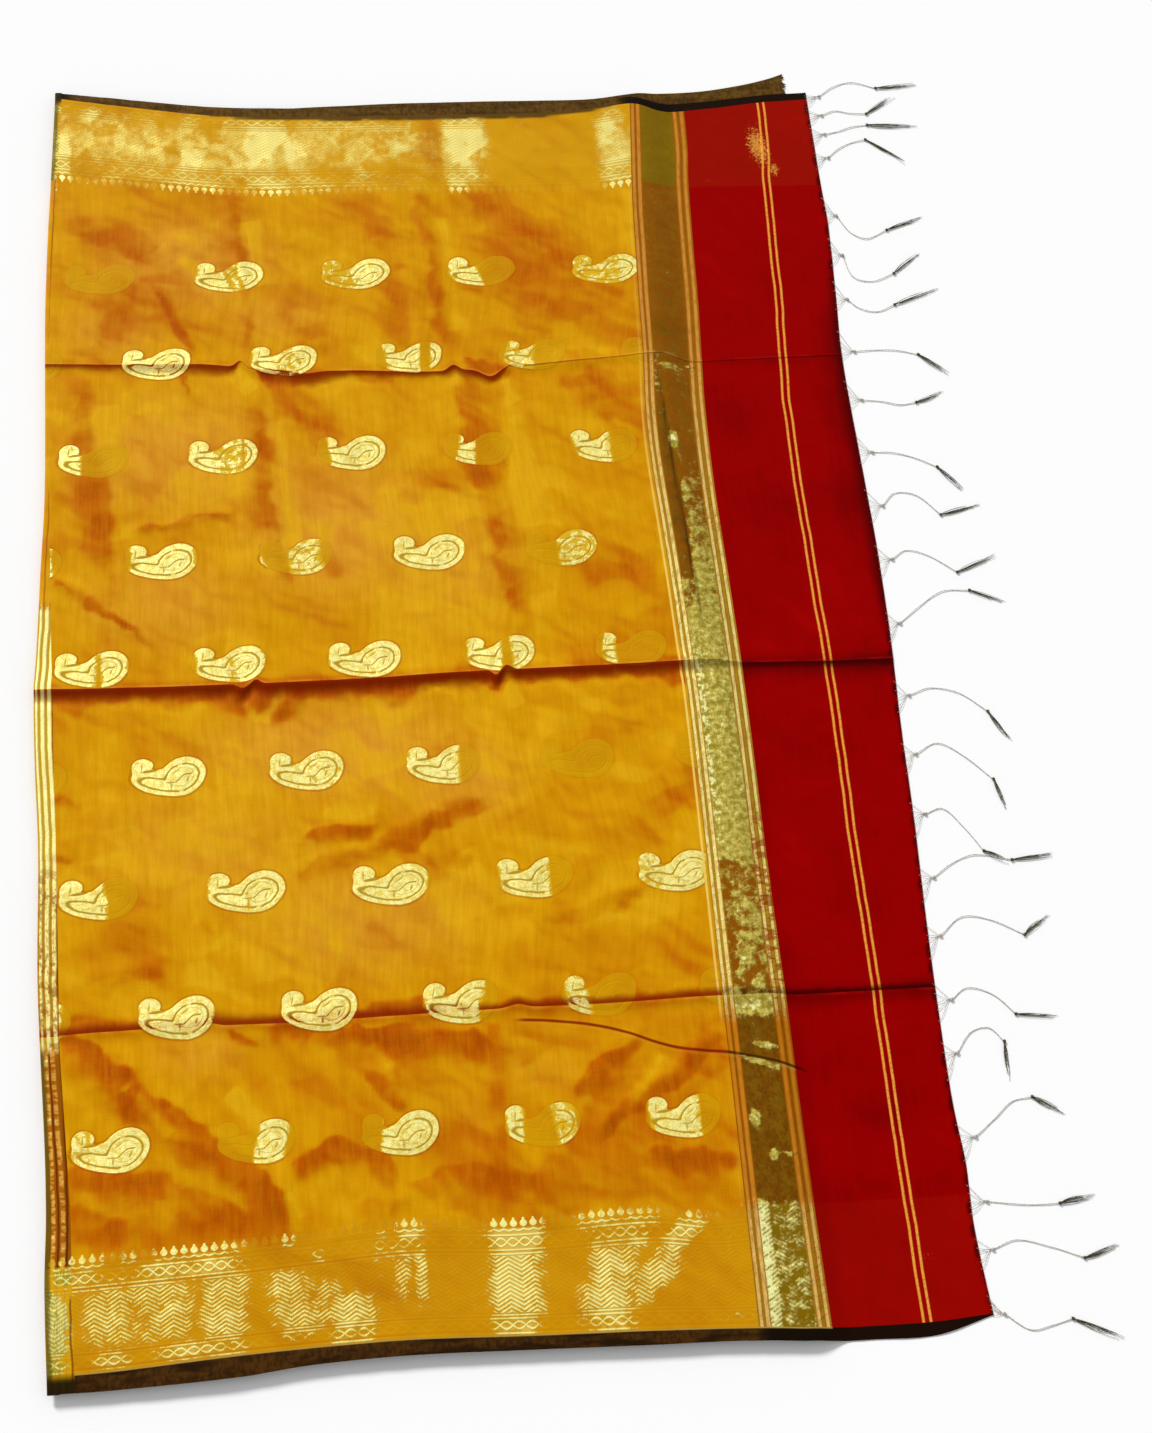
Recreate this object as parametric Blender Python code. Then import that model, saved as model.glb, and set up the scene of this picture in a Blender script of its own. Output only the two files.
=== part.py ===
# A sari folded lengthwise into a flat stack, pallu end uppermost, with its tassels to the right.
# X runs along the cloth from the fold to the tassels, Y runs across it from selvedge to selvedge, Z is up.
# The tables below are in millimetres, measured from the fold line and from the middle of the width.

import math

import bmesh
import bpy
from mathutils import Vector

MM = 0.001

# Driving dimensions, in millimetres
WALL = 1.2  # thickness of a solid that stands for one ply
SEAM = 0.3  # gap between two pieces that meet
HIDDEN_PLIES = 7
PLY_HEIGHT = 1.0
STACK_HEIGHT = HIDDEN_PLIES * PLY_HEIGHT
PLY_CLEARANCE = 0.45  # between the stack and the top ply
BULGE = 0.7  # how far the stack swells between its long creases
RAMP = 34.0  # length over which the top ply comes down past the stack
FOLD_RADIUS = 1.7  # outside radius of the left fold
FOLD_RETURN = 8.0  # how far the cloth runs back under the fold
FOLD_STEPS = 4
CORD = 0.8  # thickness of a tassel's cord
FRINGE_STRIP = 1.5  # width of the strip that holds the tassels' roots
FRINGE_LIFT = 0.2  # the tassels stay this far above the floor
HEAD_KNOT = (2.6, 4.4, 2.6)  # length, width and height, before its ends narrow
TAIL_KNOT = (3.4, 3.0, 1.9)
KNOT_RISE = 0.35  # a knot's middle lies this far above its cord's
ROOT_HALF = 1.0  # half width of a gathered thread where it leaves the strip
TUFT_SHAPE = ((0.5, 2.6, 0.9), (1.0, 2.2, 0.5))  # share of the reach, spread and thickness
CORD_STEPS = 6

# Lines that run across the cloth: x of each at several y
LENGTH_LINES = {
    "y": (580, 475, 430, 350, 285, 165, 95, 20, -20, -80, -155, -260, -315, -400, -450, -500, -575),
    "fold": (8, 4, 2, 0, 0, 0, -3, -6, -8, -7, -4, -4, -2, 2, 3, 2, 4),
    "strip": (14, 10, 7, 4, 3, 4, 5, 6, 7, 8, 10, 12, 13, 18, 21, 22, 24),
    "band_start": (536, 532, 529, 523, 520, 517, 516, 519, 520, 521, 521, 522, 523, 522, 522, 521, 523),
    "band_end": (588, 583, 580, 575, 573, 573, 574, 575, 575, 576, 576, 577, 577, 577, 578, 579, 579),
    "pallu_end": (705, 706, 707, 704, 701, 704, 706, 706, 705, 703, 702, 699, 698, 698, 701, 700, 705),
    "stack_end": (541, 538, 536, 533, 531, 536, 539, 543, 545, 548, 550, 553, 555, 557, 558, 559, 560),
}

# Lines that run along the cloth: y of each at several x
WIDTH_LINES = {
    "x": (0, 50, 140, 193, 265, 350, 450, 500, 536, 562, 612, 660, 705),
    "far_edge": (589, 582, 570, 567, 566, 566, 567, 570, 574, 570, 573, 579, 582),
    "far_selvedge": (583, 574, 560, 557, 556, 556, 557, 561, 566, 561, 565, 571, 574),
    "far_border": (490, 483, 471, 467, 468, 467, 466, 468, 474, 474, 473, 474, 476),
    "far_crease": (295, 293, 290, 283, 280, 277, 284, 288, 291, 286, 287, 288, 289),
    "middle_crease": (-17, -18, -19, -19, -18, -16, -15, -14, -13, -13, -14, -15, -15),
    "near_crease": (-311, -309, -309, -310, -309, -308, -308, -307, -307, -307, -307, -307, -307),
    "near_border": (-480, -478, -475, -472, -467, -472, -468, -476, -473, -474, -475, -475, -474),
    "near_selvedge": (-565, -564, -559, -557, -556, -559, -562, -564, -566, -568, -569, -569, -566),
    "near_edge": (-578, -578, -575, -570, -568, -570, -573, -574, -576, -578, -579, -579, -567),
}

# How the rows of a panel lie between the lines above: from one line and shift to the next, in so many steps
ROW_SPANS = (
    ("near_edge", 0, "near_selvedge", 0, 1),
    ("near_selvedge", 0, "near_border", 0, 3),
    ("near_border", 0, "near_crease", -14, 5),
    ("near_crease", -14, "near_crease", 0, 2),
    ("near_crease", 0, "near_crease", 14, 2),
    ("near_crease", 14, "middle_crease", -14, 9),
    ("middle_crease", -14, "middle_crease", 0, 2),
    ("middle_crease", 0, "middle_crease", 14, 2),
    ("middle_crease", 14, "far_crease", -14, 9),
    ("far_crease", -14, "far_crease", 0, 2),
    ("far_crease", 0, "far_crease", 14, 2),
    ("far_crease", 14, "far_border", 0, 5),
    ("far_border", 0, "far_selvedge", 0, 3),
    ("far_selvedge", 0, "far_edge", 0, 1),
)

# How the columns lie between the lines that run across: steps in each stretch
COLUMN_SPANS = (
    ("fold", "strip", 1),
    ("strip", "band_start", 17),
    ("band_start", "band_end", 5),
    ("band_end", "pallu_end", 5),
)

# The three long creases: height over the cloth and half width, one row for each
LONG_CREASES = (
    ("far_crease", 1.6, 6),
    ("middle_crease", 2.8, 7),
    ("near_crease", 2.2, 6),
)

# The largest soft folds: start, end, height and half width
SOFT_FOLDS = (
    # x, y, end x, end y, height, half width
    (352, -318, 592, -372, 1.8, 7),
    (20, -322, 178, -455, 2.4, 22),
    (265, -335, 385, -462, 2.2, 24),
    (110, -345, 235, -400, 1.4, 18),
    (0, 88, 84, 30, 1.3, 12),
    (160, 285, 172, 0, 1.2, 12),
    (300, 560, 330, 300, 1.3, 13),
    (335, 270, 372, -15, 1.3, 12),
    (372, -30, 385, -300, 1.2, 12),
    (420, -340, 500, -455, 1.5, 18),
    (60, 500, 250, 430, 1.1, 16),
    (610, 240, 690, 205, 0.9, 12),
    (600, -120, 640, -290, 0.8, 12),
)

# The hidden plies from the top one down: how far each edge stands back from the edge of the top ply
PLY_SETBACKS = (
    # left, right, near, far
    (11.5, 0.0, 2.6, 3.4),
    (11.0, -1.5, 1.4, 5.2),
    (1.2, -4.5, 3.6, 2.4),
    (2.6, -6.5, 1.8, 4.4),
    (0.9, -9.5, 4.2, 2.8),
    (3.0, -11.5, 2.2, 4.8),
    (1.6, -14.5, 3.0, 3.2),
)
PLY_ROUNDING = 1.1  # depth of the groove between two plies' edges

# The lower ply that peeks out past the far edge: y of its outline at several x, and how far from the
# top ply's edge it starts, which is under that edge beside the stack and outside it beside the pallu
LOWER_PLY = {
    "x": (205, 240, 320, 400, 450, 500, 544, 563, 606, 646, 672, 684),
    "outer": (571, 573, 576, 577, 577, 578, 584, 583, 585, 592, 599, 604),
    "start": (-2.3, -2.3, -2.3, -2.3, -2.3, -2.3, -2.3, 0.3, 0.3, 0.3, 0.3, 0.3),
}
LOWER_PLY_STEPS = 18
FRAY_TEETH = 5
FRAY_DEPTH = 4.0

# The tassels from the far corner to the near one
TASSELS = (
    # root y, gather half width, knot x and y, cord's two bends, tail knot, tip
    (572, 5, 717, 577, 732, 588, 750, 593, 773, 586, 814, 590),
    (553, 7, 717, 555, 730, 560, 744, 557, 760, 556, 790, 577),
    (530, 7, 717, 533, 730, 536, 744, 541, 759, 543, 806, 540),
    (503, 8, 717, 506, 728, 516, 742, 523, 755, 526, 791, 497),
    (446, 12, 716, 440, 727, 421, 741, 414, 761, 423, 798, 436),
    (401, 12, 716, 396, 723, 372, 740, 367, 761, 375, 788, 396),
    (351, 12, 714, 348, 724, 338, 740, 334, 757, 341, 799, 358),
    (298, 12, 713, 292, 732, 293, 752, 292, 771, 287, 797, 264),
    (246, 12, 713, 241, 730, 239, 747, 235, 762, 237, 789, 247),
    (192, 12, 715, 187, 733, 186, 752, 180, 771, 170, 791, 146),
    (133, 12, 717, 133, 729, 145, 748, 142, 767, 122, 804, 131),
    (78, 12, 718, 80, 731, 88, 750, 82, 773, 65, 809, 80),
    (14, 12, 716, 18, 736, 34, 757, 47, 781, 47, 812, 33),
    (-52, 12, 714, -50, 733, -44, 757, -50, 779, -68, 795, -98),
    (-108, 12, 712, -104, 731, -95, 750, -106, 774, -130, 781, -158),
    (-162, 12, 712, -158, 727, -154, 742, -171, 756, -193, 778, -205),
    (-220, 12, 711, -214, 727, -203, 747, -196, 778, -202, 813, -199),
    (-270, 12, 709, -264, 729, -249, 752, -253, 778, -267, 801, -251),
    (-320, 12, 710, -318, 724, -309, 744, -316, 760, -333, 794, -337),
    (-368, 12, 708, -362, 721, -346, 736, -343, 747, -355, 746, -388),
    (-434, 12, 712, -430, 729, -417, 745, -404, 762, -401, 788, -418),
    (-480, 9, 713, -481, 732, -484, 750, -486, 770, -486, 801, -481),
    (-521, 9, 712, -518, 731, -512, 757, -519, 782, -529, 810, -521),
    (-560, 6, 713, -567, 731, -580, 748, -578, 765, -574, 802, -592),
)
TASSEL_COLUMNS = (
    "root_y",
    "gather",
    "knot_x",
    "knot_y",
    "bend_x",
    "bend_y",
    "turn_x",
    "turn_y",
    "tail_x",
    "tail_y",
    "tip_x",
    "tip_y",
)
THREADS = 3
TAIL_STRANDS = 3
FRINGE_ENDS = (578, -567)  # y of the strip's two ends

MATERIALS = {
    # red, green, blue, roughness, metallic
    "hidden_layers": (0.50, 0.24, 0.02, 0.6, 0.0),
    "body_field": (0.62, 0.28, 0.01, 0.5, 0.1),
    "border_far": (0.66, 0.42, 0.05, 0.4, 0.4),
    "border_near": (0.66, 0.42, 0.05, 0.4, 0.4),
    "selvedge_far": (0.05, 0.03, 0.01, 0.6, 0.0),
    "selvedge_near": (0.05, 0.03, 0.01, 0.6, 0.0),
    "zari_band": (0.25, 0.20, 0.02, 0.4, 0.4),
    "pallu": (0.30, 0.0, 0.0, 0.5, 0.0),
    "fold_edge": (0.70, 0.40, 0.05, 0.4, 0.3),
    "lower_ply_far": (0.12, 0.07, 0.01, 0.6, 0.0),
    "fringe": (0.30, 0.28, 0.24, 0.7, 0.0),
}


def clear_scene():
    for obj in list(bpy.data.objects):
        bpy.data.objects.remove(obj, do_unlink=True)


def smooth_curve(places, values, at):
    """A smooth curve through the rows of a table, read at one place."""
    if places[0] > places[-1]:
        places, values = places[::-1], values[::-1]
    if at <= places[0]:
        return values[0]
    if at >= places[-1]:
        return values[-1]
    k = max(i for i, place in enumerate(places[:-1]) if place <= at)

    def slope(i):
        low, high = max(i - 1, 0), min(i + 1, len(places) - 1)
        return (values[high] - values[low]) / (places[high] - places[low])

    span = places[k + 1] - places[k]
    t = (at - places[k]) / span
    ease = t * t * (3 - 2 * t)
    start = t * (1 - t) ** 2 * slope(k) * span
    end = t * t * (t - 1) * slope(k + 1) * span
    return values[k] * (1 - ease) + values[k + 1] * ease + start + end


def length_line(name, y):
    return smooth_curve(LENGTH_LINES["y"], LENGTH_LINES[name], y)


def width_line(name, x):
    return smooth_curve(WIDTH_LINES["x"], WIDTH_LINES[name], x)


def ease(t):
    t = min(max(t, 0.0), 1.0)
    return t * t * (3 - 2 * t)


def ramp_share(x, y):
    """0 over the stack, 1 where the top ply lies on the floor."""
    return ease((x - length_line("stack_end", y) - 2) / RAMP)


def swell(x, y):
    """The stack is a little fuller between its creases than at them and at its edges."""
    lines = [width_line(name, x) for name in ("near_edge", "near_crease", "middle_crease")]
    lines += [width_line(name, x) for name in ("far_crease", "far_edge")]
    inside = max(0.0, math.sin(math.pi * min(max(x / 540, 0), 1)))
    for low, high in zip(lines, lines[1:]):
        if low <= y <= high:
            return BULGE * inside * math.sin(math.pi * (y - low) / (high - low)) ** 2
    return 0.0


def crease_height(x, y):
    """The creases and soft folds that stand up from the cloth."""
    height = 0.0
    for name, rise, half in LONG_CREASES:
        away = (y - width_line(name, x)) / half
        height += rise * math.exp(-away * away) * (1 - 0.6 * ramp_share(x, y))
    for x0, y0, x1, y1, rise, half in SOFT_FOLDS:
        length = math.hypot(x1 - x0, y1 - y0)
        along = ((x - x0) * (x1 - x0) + (y - y0) * (y1 - y0)) / length
        across = ((y - y0) * (x1 - x0) - (x - x0) * (y1 - y0)) / length
        ends = ease(along / 30 + 0.5) * ease((length - along) / 30 + 0.5)
        height += rise * ends * math.exp(-((across / half) ** 2))
    return height


def under_and_top(x, y):
    """The heights of the top ply's two faces. On the floor the lower face is flat."""
    down = ramp_share(x, y)
    raised = STACK_HEIGHT + PLY_CLEARANCE + swell(x, y) + crease_height(x, y)
    under = raised * (1 - down)
    return under, under + WALL + 0.5 * crease_height(x, y) * down


def meeting_point(row, column):
    """Where a line along the cloth meets a line across it."""
    x, y = 350.0, 0.0
    for _ in range(5):
        y = row(x)
        x = column(y)
    return x, row(x)


def spans_between(first, last, spans):
    """The spans of a table from the one that starts at one line to the one that ends at another."""
    starts = [span[0] for span in spans]
    ends = [[word for word in span if isinstance(word, str)][-1] for span in spans]
    return spans[starts.index(first) : len(ends) - ends[::-1].index(last)]


def moved_ends(lines, inset):
    """The same functions, with the first and the last moved towards each other by half a seam."""
    first, last = lines[0], lines[-1]
    return [lambda at: first(at) + inset, *lines[1:-1], lambda at: last(at) - inset]


def row_line(low, low_shift, high, high_shift, share):
    """y(x) of a row that lies part of the way from one line to another."""

    def row(x):
        start = width_line(low, x) + low_shift
        return start + (width_line(high, x) + high_shift - start) * share

    return row


def column_line(low, high, share):
    """x(y) of a column that lies part of the way from one line to another."""

    def column(y):
        start = length_line(low, y)
        return start + (length_line(high, y) - start) * share

    return column


def rows_between(first, last, inset=SEAM / 2):
    """Functions y(x), one for each row of a panel."""
    rows = []
    for *ends, steps in spans_between(first, last, ROW_SPANS):
        rows += [row_line(*ends, step / steps) for step in range(steps)]
    return moved_ends([*rows, row_line(*ends, 1)], inset)


def columns_between(first, last, inset=SEAM / 2):
    """Functions x(y), one for each column of a panel."""
    columns = []
    for *ends, steps in spans_between(first, last, COLUMN_SPANS):
        columns += [column_line(*ends, step / steps) for step in range(steps)]
    return moved_ends([*columns, column_line(*ends, 1)], inset)


def finish(name, mesh_builder):
    """Makes the object of a node from its mesh, with its own material."""
    bmesh.ops.recalc_face_normals(mesh_builder, faces=mesh_builder.faces[:])
    mesh = bpy.data.meshes.new(name)
    mesh_builder.to_mesh(mesh)
    mesh_builder.free()
    red, green, blue, roughness, metallic = MATERIALS[name]
    material = bpy.data.materials.new(name)
    material.use_nodes = True
    shader = material.node_tree.nodes["Principled BSDF"]
    shader.inputs["Base Color"].default_value = (red, green, blue, 1)
    shader.inputs["Roughness"].default_value = roughness
    shader.inputs["Metallic"].default_value = metallic
    mesh.materials.append(material)
    mesh.shade_smooth()
    mesh.set_sharp_from_angle(angle=math.radians(40))
    obj = bpy.data.objects.new(name, mesh)
    bpy.context.scene.collection.objects.link(obj)
    return obj


def grid_with_indices(across, along):
    """A flat grid whose points carry their column and row numbers."""
    mesh = bmesh.new()
    column = mesh.verts.layers.int.new("column")
    row = mesh.verts.layers.int.new("row")
    bmesh.ops.create_grid(mesh, x_segments=across, y_segments=along, size=1)
    for number, vert in enumerate(mesh.verts):
        vert[column] = number % (across + 1)
        vert[row] = number // (across + 1)
    return mesh, column, row


def make_panel(name, rows, columns):
    """A wall of the top ply: a grid on the ply's upper face, extruded down to its lower one."""
    mesh, column, row = grid_with_indices(len(columns) - 1, len(rows) - 1)
    extruded = bmesh.ops.extrude_face_region(mesh, geom=mesh.faces[:])
    lower = {item for item in extruded["geom"] if isinstance(item, bmesh.types.BMVert)}
    for vert in mesh.verts:
        x, y = meeting_point(rows[vert[row]], columns[vert[column]])
        heights = under_and_top(x, y)
        vert.co = Vector((x, y, heights[0] if vert in lower else heights[1])) * MM
    return finish(name, mesh)


def make_fold_edge():
    """The stretch at the left, where the cloth turns under: a hooked wall, one section for each row."""
    rows = rows_between("near_edge", "far_edge", 0)
    turn = [math.pi / 2 * (1 + 2 * step / FOLD_STEPS) for step in range(FOLD_STEPS + 1)]

    def section(x_strip, x_fold, top):
        centre_x, centre_z = x_fold + FOLD_RADIUS, top - FOLD_RADIUS
        inside = FOLD_RADIUS - WALL
        outer = [(x_strip, top)]
        outer += [
            (centre_x + FOLD_RADIUS * math.cos(a), centre_z + FOLD_RADIUS * math.sin(a)) for a in turn
        ]
        outer += [(x_fold + FOLD_RETURN, top - 2 * FOLD_RADIUS)]
        inner = [(x_fold + FOLD_RETURN, top - 2 * FOLD_RADIUS + WALL)]
        inner += [
            (centre_x + inside * math.cos(a), centre_z + inside * math.sin(a)) for a in turn[::-1]
        ]
        return outer + inner + [(x_strip, top - WALL)]

    mesh = bmesh.new()
    face = None
    for row in rows:
        x_fold, y = meeting_point(row, lambda y: length_line("fold", y))
        x_strip = length_line("strip", y) - SEAM / 2
        top = under_and_top(x_strip, y)[1]
        points = [Vector((x, y, z)) * MM for x, z in section(x_strip, x_fold, top)]
        if face is None:
            face = mesh.faces.new([mesh.verts.new(point) for point in points])
            face.copy()  # stays behind as the near end
            continue
        face = bmesh.ops.extrude_discrete_faces(mesh, faces=[face])["faces"][0]
        for loop, point in zip(face.loops, points):
            loop.vert.co = point
    return finish("fold_edge", mesh)


def make_hidden_layers():
    """The plies under the top one: its upper face follows theirs, and each ply shows as a rounded edge."""
    rows = rows_between("near_edge", "far_edge", 0)[::2]
    steps = 10

    def place(column, row_number, setback):
        left, right, near, far = setback
        share = column / steps
        last_row = len(rows) - 1
        x, y = 350.0, 0.0
        for _ in range(5):
            y = rows[row_number](x)
            if row_number == 0:
                y += near
            if row_number == last_row:
                y -= far
            low = length_line("fold", y) + left
            high = length_line("stack_end", y) - right
            x = low * (1 - share) + high * share
        return x, y

    mesh, column, row = grid_with_indices(steps, len(rows) - 1)
    top_setback = tuple(value + PLY_ROUNDING for value in PLY_SETBACKS[0])
    for vert in mesh.verts:
        x, y = place(vert[column], vert[row], top_setback)
        edge = vert[column] in (0, steps) or vert[row] in (0, len(rows) - 1)
        vert.co = Vector((x, y, STACK_HEIGHT + (0 if edge else swell(x, y)))) * MM
    edges = [edge for edge in mesh.edges if edge.is_boundary]
    for ply, setback in enumerate(PLY_SETBACKS):
        floor = STACK_HEIGHT - (ply + 1) * PLY_HEIGHT
        following = PLY_SETBACKS[min(ply + 1, HIDDEN_PLIES - 1)]
        groove = tuple(max(a, b) + PLY_ROUNDING for a, b in zip(setback, following))
        for level, at in ((floor + PLY_HEIGHT / 2, setback), (floor, groove)):
            extruded = bmesh.ops.extrude_edge_only(mesh, edges=edges)["geom"]
            edges = [item for item in extruded if isinstance(item, bmesh.types.BMEdge)]
            for vert in [item for item in extruded if isinstance(item, bmesh.types.BMVert)]:
                x, y = place(vert[column], vert[row], at)
                vert.co = Vector((x, y, level)) * MM
    bmesh.ops.contextual_create(mesh, geom=edges)
    return finish("hidden_layers", mesh)


def make_lower_ply():
    """A strip of the lower ply beside the far edge, its cut end frayed into short teeth."""
    start, end = LOWER_PLY["x"][0], LOWER_PLY["x"][-1]
    mesh, column, row = grid_with_indices(LOWER_PLY_STEPS, FRAY_TEETH)
    extruded = bmesh.ops.extrude_face_region(mesh, geom=mesh.faces[:])
    lower = {item for item in extruded["geom"] if isinstance(item, bmesh.types.BMVert)}
    for vert in mesh.verts:
        x = start + (end - start) * vert[column] / LOWER_PLY_STEPS
        outer = smooth_curve(LOWER_PLY["x"], LOWER_PLY["outer"], x)
        inner = width_line("far_edge", x) + smooth_curve(LOWER_PLY["x"], LOWER_PLY["start"], x)
        share = vert[row] / FRAY_TEETH
        y = inner * (1 - share) + outer * share
        if vert[column] == LOWER_PLY_STEPS:
            x += FRAY_DEPTH * (0.8 if vert[row] % 2 else -0.4)
        vert.co = Vector((x, y, 0 if vert in lower else WALL)) * MM
    return finish("lower_ply_far", mesh)


def knot_body(mesh, centre, heading, size, parts, steps):
    """A knot: a small rounded block whose two ends are split into quads. It returns those ends."""
    length, width, height = (value * MM for value in size)
    side = Vector((-heading.y, heading.x, 0))
    grid = bmesh.ops.create_grid(mesh, x_segments=steps, y_segments=parts, size=1)["verts"]
    faces = {face for vert in grid for face in vert.link_faces}
    extruded = bmesh.ops.extrude_face_region(mesh, geom=list(faces))["geom"]
    upper = [item for item in extruded if isinstance(item, bmesh.types.BMVert)]
    block = [*grid, *upper]
    spots = {vert: (vert.co.x, round((vert.co.y + 1) * parts / 2)) for vert in block}
    for vert, (along, across) in spots.items():
        middle = steps > 1 and abs(along) < 0.5
        wide = width * (1.0 if middle else 0.62)
        tall = height * (1.0 if middle else 0.55)
        vert.co = (
            centre
            + heading * length * along / 2
            + side * wide * (across / parts - 0.5)
            + Vector((0, 0, tall * (0.5 if vert in upper else -0.5)))
        )
    ends = {}
    for name, sign in (("back", -1), ("front", 1)):
        ends[name] = [
            face
            for face in {face for vert in spots for face in vert.link_faces}
            if all(spots[vert][0] * sign > 0.5 for vert in face.verts)
        ]
        ends[name].sort(key=lambda face: face.calc_center_median().dot(side))
    return ends


def sweep(mesh, face, points, thicknesses):
    """Extrudes one quad along points, square to the way it goes. It returns the last quad."""
    heading = points[0] - face.calc_center_median()
    for number, (point, thickness) in enumerate(zip(points, thicknesses)):
        following = points[number + 1] if number + 1 < len(points) else point + heading
        heading = (point - face.calc_center_median()).normalized()
        ahead = (following - point).normalized()
        heading = (heading + ahead).normalized()
        side = Vector((-heading.y, heading.x, 0)).normalized()
        corners = corner_signs(face, side)
        face = bmesh.ops.extrude_discrete_faces(mesh, faces=[face])["faces"][0]
        for loop, (right, up) in zip(face.loops, corners):
            offset = side * right + Vector((0, 0, up))
            loop.vert.co = point + offset * thickness * MM / 2
    return face


def corner_signs(face, side):
    """Which side of its quad each corner lies on, and whether it is the upper or the lower one."""
    centre = face.calc_center_median()
    return [
        (math.copysign(1, (vert.co - centre).dot(side)), math.copysign(1, vert.co.z - centre.z))
        for vert in (loop.vert for loop in face.loops)
    ]


def bridge(mesh, first, second):
    """Joins two quads by a four-sided tube in their place."""
    heading = second.calc_center_median() - first.calc_center_median()
    side = Vector((-heading.y, heading.x, 0)).normalized()
    start = [loop.vert for loop in first.loops]
    far_corner = dict(zip(corner_signs(second, side), (loop.vert for loop in second.loops)))
    end = [far_corner[signs] for signs in corner_signs(first, side)]
    bmesh.ops.delete(mesh, geom=[first, second], context="FACES_ONLY")
    for k in range(4):
        mesh.faces.new((start[k - 1], start[k], end[k], end[k - 1]))


def cord_points(tassel):
    """The cord's route, read from a smooth curve through its knots and bends."""
    names = (("knot_x", "knot_y"), ("bend_x", "bend_y"), ("turn_x", "turn_y"), ("tail_x", "tail_y"))
    stations = [0.0]
    spots = [(tassel[x], tassel[y]) for x, y in names]
    for (x0, y0), (x1, y1) in zip(spots, spots[1:]):
        stations.append(stations[-1] + math.hypot(x1 - x0, y1 - y0))
    xs, ys = zip(*spots)
    height = FRINGE_LIFT + CORD / 2
    places = [stations[-1] * step / CORD_STEPS for step in range(CORD_STEPS + 1)]
    return [
        Vector((smooth_curve(stations, xs, s), smooth_curve(stations, ys, s), height)) * MM
        for s in places
    ]


def make_tassel(mesh, tassel, threads, number):
    """Gathered threads, a knot, the cord, a second knot and the loose strands past it."""
    route = cord_points(tassel)
    rise = Vector((0, 0, KNOT_RISE * MM))
    heading = (Vector((1, 0, 0)) * 1.6 + (route[1] - route[0]).normalized()).normalized()
    knot = knot_body(mesh, route[0] + rise, heading, HEAD_KNOT, THREADS, 1)
    for root, back in zip(threads, knot["back"][::-1]):
        bridge(mesh, root, back)
    end = sweep(mesh, knot["front"][1], route[1:-1], [CORD] * (CORD_STEPS - 1))

    tip = Vector((tassel["tip_x"], tassel["tip_y"], FRINGE_LIFT + CORD / 2)) * MM
    out = (tip - route[-1]).normalized()
    side = Vector((-out.y, out.x, 0))
    tail = knot_body(mesh, route[-1] + rise, out, TAIL_KNOT, TAIL_STRANDS, 2)
    bridge(mesh, end, tail["back"][1])
    for strand, face in enumerate(tail["front"]):
        spread = strand - (TAIL_STRANDS - 1) / 2
        length = (1 - 0.08 * ((number + strand) % 3)) * (tip - route[-1]).length
        points = [
            route[-1] + out * length * share + side * spread * wide * MM
            for share, wide, thickness in TUFT_SHAPE
        ]
        sweep(mesh, face, points, [thickness for share, wide, thickness in TUFT_SHAPE])


def make_fringe():
    """The strip along the pallu's edge and the tassels fused to it."""
    tassels = [dict(zip(TASSEL_COLUMNS, row)) for row in TASSELS]
    stations = []
    for tassel in tassels:
        for thread in range(THREADS):
            y = tassel["root_y"] + tassel["gather"] * (1 - thread)
            stations += [y + ROOT_HALF, y - ROOT_HALF]
    stations = [FRINGE_ENDS[0], *stations, FRINGE_ENDS[1]]
    mesh, column, row = grid_with_indices(1, len(stations) - 1)
    extruded = bmesh.ops.extrude_face_region(mesh, geom=mesh.faces[:])
    lower = {item for item in extruded["geom"] if isinstance(item, bmesh.types.BMVert)}
    for vert in mesh.verts:
        y = stations[len(stations) - 1 - vert[row]]
        x = length_line("pallu_end", y) + SEAM + FRINGE_STRIP * vert[column]
        z = FRINGE_LIFT if vert in lower else FRINGE_LIFT + WALL
        vert.co = Vector((x, y, z)) * MM
    sides = [
        face
        for face in mesh.faces
        if all(vert[column] == 1 for vert in face.verts) and len(face.verts) == 4
    ]
    sides.sort(key=lambda face: -face.calc_center_median().y)
    roots = sides[1::2]
    for number, tassel in enumerate(tassels):
        make_tassel(mesh, tassel, roots[number * THREADS : (number + 1) * THREADS], number)
    return finish("fringe", mesh)


def centre_on_origin():
    """Puts the middle of the whole box's underside on the origin."""
    meshes = [obj.data for obj in bpy.data.objects if obj.type == "MESH"]
    points = [vert.co for mesh in meshes for vert in mesh.vertices]
    lows = [min(point[axis] for point in points) for axis in range(3)]
    highs = [max(point[axis] for point in points) for axis in range(2)]
    middle = Vector(((lows[0] + highs[0]) / 2, (lows[1] + highs[1]) / 2, lows[2]))
    for mesh in meshes:
        for vert in mesh.vertices:
            vert.co -= middle
    print("origin moved by", [round(value / MM, 3) for value in middle])


def main():
    clear_scene()
    make_hidden_layers()
    body_columns = columns_between("strip", "band_start")
    all_columns = columns_between("strip", "pallu_end")
    inner_rows = rows_between("near_selvedge", "far_selvedge")
    make_panel("body_field", rows_between("near_border", "far_border"), body_columns)
    make_panel("border_far", rows_between("far_border", "far_selvedge"), body_columns)
    make_panel("border_near", rows_between("near_selvedge", "near_border"), body_columns)
    make_panel("zari_band", inner_rows, columns_between("band_start", "band_end"))
    make_panel("pallu", inner_rows, columns_between("band_end", "pallu_end"))
    make_panel("selvedge_far", rows_between("far_selvedge", "far_edge"), all_columns)
    make_panel("selvedge_near", rows_between("near_edge", "near_selvedge"), all_columns)
    make_fold_edge()
    make_lower_ply()
    make_fringe()
    centre_on_origin()


main()
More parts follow.
